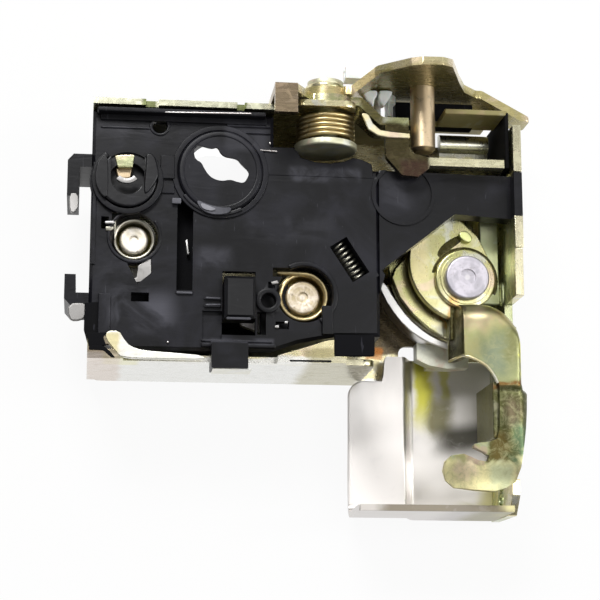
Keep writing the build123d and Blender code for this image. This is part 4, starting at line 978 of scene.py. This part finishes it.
# raised rings of the cover: centre, radii, front face and the part of a turn
coverRings = {
    "keyCollar": ((-73.1, 14.6), 11.6, 10.3, 12.5, 0, 360),
    "knobCollar": ((-95.2, 11.8), 8.5, 7.1, 13.2, 128, 412),
    "leftWellRim": ((-93.3, -1.9), 6.5, 5.8, 12.35, 100, 400),
    "middleWellRim": ((-52.7, -14.9), 8.0, 6.9, 12.6, -60, 120),
    "pinRim": ((-61.4, -16.7), 3.0, 1.8, 12.9, 0, 360),
    "holeRim": ((-87.7, 25.6), 2.5, 1.8, 12.25, 0, 360),
}
for name, (centre, outer, inner, top, start, end) in coverRings.items():
    edge = coverFace["ringEdge"]
    ringPiece(name, centre, outer, inner, coverFace["rings"], top, "coverPlastic", edge, start, end)


def dialPiece(name, centre, profile, holePoints, plateLow, plateHigh, finishName, body, nodes):
    # rim turned from its profile, with a thin plate pierced by the hole
    steps = 72
    work = bmesh.new()

    def circle(radius, z):
        points = arcPoints(*centre, radius, 0, 360 - 360 / steps, steps - 1)
        return [work.verts.new(mm(x, y, z)) for x, y in points]

    rows = [circle(radius, z) for radius, z in profile]
    for k in range(len(rows)):
        wall(work, rows[k], rows[(k + 1) % len(rows)])
    holes = []
    for z in (plateLow, plateHigh):
        outside = circle(profile[-1][0] + 0.1, z)
        holes.append([work.verts.new(mm(x, y, z)) for x, y in holePoints])
        edges = []
        for ring in (outside, holes[-1]):
            edges += [work.edges.new((ring[i], ring[(i + 1) % len(ring)])) for i in range(len(ring))]
        bmesh.ops.triangle_fill(work, edges=edges, use_beauty=True)
    wall(work, *holes)
    piece = addPiece(name, meshOf(name, work), finishName, body, nodes)
    roundEdges(piece, 0.25, 3, 30)


keyDial = {"centre": (-73.1, 14.6), "rear": 12.3, "front": 13.1}
keyhole = [
    (-79.5, 18.5), (-79.4, 20.4), (-78.6, 20.9), (-76.5, 20.4), (-75.1, 20.1), (-73.9, 20.6), (-73.0, 18.8),
    (-71.8, 18.1), (-69.1, 17.8), (-68.2, 16.5), (-66.1, 14.6), (-66.6, 13.1), (-67.4, 11.8), (-69.0, 12.0),
    (-70.7, 12.6), (-72.7, 12.1), (-74.8, 12.6), (-76.1, 13.7), (-77.1, 15.3), (-77.7, 16.6), (-79.0, 17.2),
]
rimProfile = [
    (10.2, 12.2), (10.1, 12.9), (9.7, 13.3), (9.0, 13.4), (8.7, 13.3), (8.5, 12.7), (8.3, 12.4), (8.3, 8.4),
    (9.4, 8.4), (9.4, 12.2),
]
dialPiece("keyRim", keyDial["centre"], rimProfile, softOutline(keyhole), keyDial["rear"], keyDial["front"],
    "coverPlastic", "key_follower", ["key_dial"])

# rings at the two dials: centre, outer and inner radius, low, high, finish, rounding and the part of a turn
dialRings = {
    "knobFloor": ((-95.2, 11.8), 7.3, 4.6, 10.4, 11.4, "slidePlastic", 0.2),
    "knobCup": ((-95.2, 11.4), 6.0, 3.4, 12.2, 13.4, "slidePlastic", 0.5, 200, 340),
    "knobGlow": ((-95.4, 14.6), 3.5, 2.3, 11.6, 12.2, "dullZinc", 0.3, 225, 318),
    "keyFlash": (keyDial["centre"], 10.9, 9.9, 11.9, 12.9, "slidePlastic", 0.35, 215, 300),
    # a glowing white strip inside the key opening, painted light for the bright backdrop seen through it
    "keyholeGlow": (keyDial["centre"], 12.6, 12.25, -15.5, 6.0, "litNylon", 0.05, 66, 138),
}
for name, details in dialRings.items():
    ringPiece(name, *details)

# prongs, arms, pale edges, tips and painted highlights on the inner lever, flange, slider and key dial:
# outline, low, high, finish and rounding, then body, replaced nodes and axis
trims = {
    "prongLeft": ([(-37.9, 36.6), (-36.6, 37.6), (-34.3, 37.7), (-34.2, 36.4), (-34.9, 35.5),
        (-35.3, 33.1), (-36.2, 34.2), (-37.2, 35.1)], 7.2, 9.8, "whiteNylon", 0.5, "rod_socket"),
    "prongRight": ([(-33.8, 37.7), (-31.8, 37.8), (-30.4, 37.6), (-30.7, 36.6), (-31.6, 35.1),
        (-32.8, 33.5), (-33.7, 34.3), (-34.1, 35.6)], 7.2, 9.8, "whiteNylon", 0.5, "rod_socket"),
    "knobArmLeft": (softOutline([(-102.4, 15.6), (-100.8, 17.6), (-100.0, 17.3), (-99.7, 9.4),
        (-100.2, 6.4), (-102.0, 8.4), (-103.0, 11.2)], 1), 11.8, 14.4, "slidePlastic", 0.6),
    "knobArmRight": (softOutline([(-91.0, 18.4), (-89.0, 17.8), (-88.0, 14.6), (-88.0, 11.7), (-90.9, 7.6),
        (-91.4, 9.0), (-91.0, 15.0)], 1), 11.8, 14.4, "slidePlastic", 0.6),
    "sliderLip": (boxOutline(-71.6, -65.9, -21.6, -22.2), 15.8, 16.25, "wornPlastic", 0.15, "lock_slide"),
    "cornerFlange": (softOutline([(-99.8, -27.2), (-99.2, -25.4), (-96.4, -25.4), (-95.3, -27.3),
        (-93.8, -29.0), (-90.8, -29.9), (-83.5, -30.3), (-76.6, -30.8), (-76.6, -31.9), (-86.0, -31.9),
        (-95.8, -31.9), (-97.2, -30.4)], 1), 14.8, 16.1, "creamZinc", 0.4),
    "hookTip": (softOutline([(-108.6, -18.4), (-103.9, -18.2), (-104.1, -20.4), (-104.6, -22.2),
        (-106.7, -22.8), (-108.2, -22.3)], 1), 11.4, 12.4, "dullZinc", 0.4),
    "hookTipUpper": (softOutline([(-109.0, 8.2), (-106.7, 8.3), (-106.6, 5.2), (-107.4, 3.4),
        (-108.6, 3.3)], 1), 11.4, 12.4, "dullZinc", 0.4),
    "topGlow": ([(-86.7, 28.2), (-66.0, 28.7), (-66.0, 28.35), (-86.7, 27.9)], 15.1, 15.5, "brightZinc",
        0.12),
    "leverEdgeHighlight": ([(-38.2, 29.3), (-37.5, 28.8), (-36.6, 26.8), (-34.8, 25.2), (-32.3, 24.9), (-27.6, 24.6),
        (-27.6, 23.3), (-32.8, 23.3), (-35.5, 23.7), (-37.8, 25.1), (-38.9, 27.7), (-39.4, 28.7),
        (-39.3, 29.3)], 16.2, 16.9, "edgeZinc", 0.3, "inside_handle_lever"),
    "keyGlint": (softOutline([(-79.0, 7.4), (-76.0, 6.1), (-72.7, 5.4), (-70.2, 5.7), (-71.0, 4.2),
        (-73.1, 3.7), (-75.5, 3.8), (-77.8, 4.9)]), 12.6, 13.5, "wornPlastic", 0.45),
    "keyGlintCore": (softOutline([(-77.9, 6.5), (-75.2, 5.5), (-73.9, 4.9), (-75.6, 4.4), (-77.6, 5.1)]),
        13.1, 13.9, "shinePlastic", 0.4),
    "knobPin": ([(-98.3, 15.6), (-93.8, 15.7), (-94.4, 12.8), (-97.4, 12.4)], 8.8, 10.2, "pinBronze", 0.5),
    "tongueBlade": ([(-98.6, 18.3), (-93.5, 18.5), (-93.9, 15.1), (-97.6, 14.9)], 10.2, 11.6, "tongueZinc",
        0.35, "knob_follower", ["knob_tongue"]),
    "clipEdge": (boxOutline(-74.6, -65.4, 8.4, 15.4), -33.85, -33.6, "creamZinc", 0.1, "case", (), "Y"),
}
for name, details in trims.items():
    slabPiece(name, *details)
coverTables = (coverBars, coverWalls, coverSpots, coverRings, trims)
print("cover detail moulded:", sum(len(table) for table in coverTables))


floorSetup = {"half": 4.0, "gap": 0.02, "tone": rgb(0.75, 0.75, 0.74), "white": 0.93}


def makeFloor(setup):
    # pale paper: white to the camera and in the metal, a plain surface to every other ray
    material, shade = newMaterial("paperWhite")
    grain = shade.noise(shade.place(), 0.8, 3.0)
    normal = shade.bump(grain, 0.05, mm(0.02))
    paper = shade.node("BsdfDiffuse", links={"Color": setup["tone"], "Normal": normal})
    glow = shade.node("Emission", links={"Color": rgb(1, 1, 1), "Strength": 1.0})
    rays = shade.node("LightPath", out="Is Camera Ray")
    seen = rays + rays.part("Is Glossy Ray") + rays.part("Is Transmission Ray")
    both = shade.node("MixShader", links={0: seen.step(0.0, 1.0) * setup["white"], 1: paper, 2: glow})
    shade.node("OutputMaterial", links={"Surface": both})
    mesh = bpy.data.meshes.new("floor")
    half = setup["half"]
    low = packedBox[0][2] - mm(setup["gap"])
    corners = [(x, y, low) for x, y in boxOutline(-half, half, -half, half)]
    mesh.from_pydata(corners, [], [range(4)])
    mesh.materials.append(material)
    floor = bpy.data.objects.new("floor", mesh)
    scene.collection.objects.link(floor)


def softbox(name, place, aim, wide, high, power):
    light = bpy.data.lights.new(name, "AREA")
    light.shape = "RECTANGLE"
    light.size = wide
    light.size_y = high
    light.energy = power
    box = bpy.data.objects.new(name, light)
    box.location = place
    box.rotation_euler = (Vector(aim) - Vector(place)).to_track_quat("-Z", "Y").to_euler()
    scene.collection.objects.link(box)


def makeWorld():
    world = bpy.data.worlds.new("studio")
    scene.world = world
    world.use_nodes = True
    shade = Shade(world.node_tree)
    way = shade.node("TexCoord", out="Generated")
    blotch = shade.noise(way, 1.7, 2.0, 0.5, 0.4)
    split = shade.node("SeparateXYZ", links={0: way})
    across, along, height = split.part("X"), split.part("Y"), split.part("Z")
    ring = height.step(0.05, 0.45) * height.step(0.98, 0.8, 0.7, 1.0)
    side = across.step(-0.8, 0.5, 0.35, 1.0) * along.step(-0.9, 0.3, 0.55, 1.0)
    level = ring * side * blotch.step(0.38, 0.6, 0.3, 1.1) + 0.03
    tone = shade.mix(blotch.step(0.45, 0.7), rgb(1.0, 0.98, 0.95), rgb(0.9, 0.95, 1.0))
    back = shade.node("Background", links={"Color": tone, "Strength": level})
    shade.node("OutputWorld", links={"Surface": back})


cameraSetup = {
    "place": (-0.1034, -0.1027, 0.4158), "aim": (-0.0533, -0.0154, 0.008), "lens": 105.0, "sensor": 36.0,
    "near": 0.01, "far": 20.0,
}


def makeCamera(setup):
    camera = bpy.data.cameras.new("camera")
    camera.lens = setup["lens"]
    camera.sensor_width = setup["sensor"]
    camera.clip_start = setup["near"]
    camera.clip_end = setup["far"]
    body = bpy.data.objects.new("camera", camera)
    forward = (Vector(setup["aim"]) - Vector(setup["place"])).normalized()
    right = forward.cross(Vector((0, 1, 0))).normalized()
    up = right.cross(forward)
    turn = Matrix((right, up, -forward)).transposed().to_4x4()
    body.matrix_world = Matrix.Translation(setup["place"]) @ turn
    scene.collection.objects.link(body)
    scene.camera = body


# softboxes: place, aim, width, height and power
lights = {
    "keyLight": ((-0.22, 0.42, 0.55), (-0.05, 0, 0), 0.3, 0.2, 4.0),
    "fillLight": ((0.5, 0.0, 0.4), (-0.05, 0, 0), 0.12, 0.5, 2.0),
    "trayLight": ((0.12, 0.0, 0.55), (-0.01, -0.04, 0), 0.16, 0.12, 0.3),
}
makeFloor(floorSetup)
makeWorld()
for name, details in lights.items():
    softbox(name, *details)
makeCamera(cameraSetup)
scene.view_settings.view_transform = "Standard"
print("light and camera set")
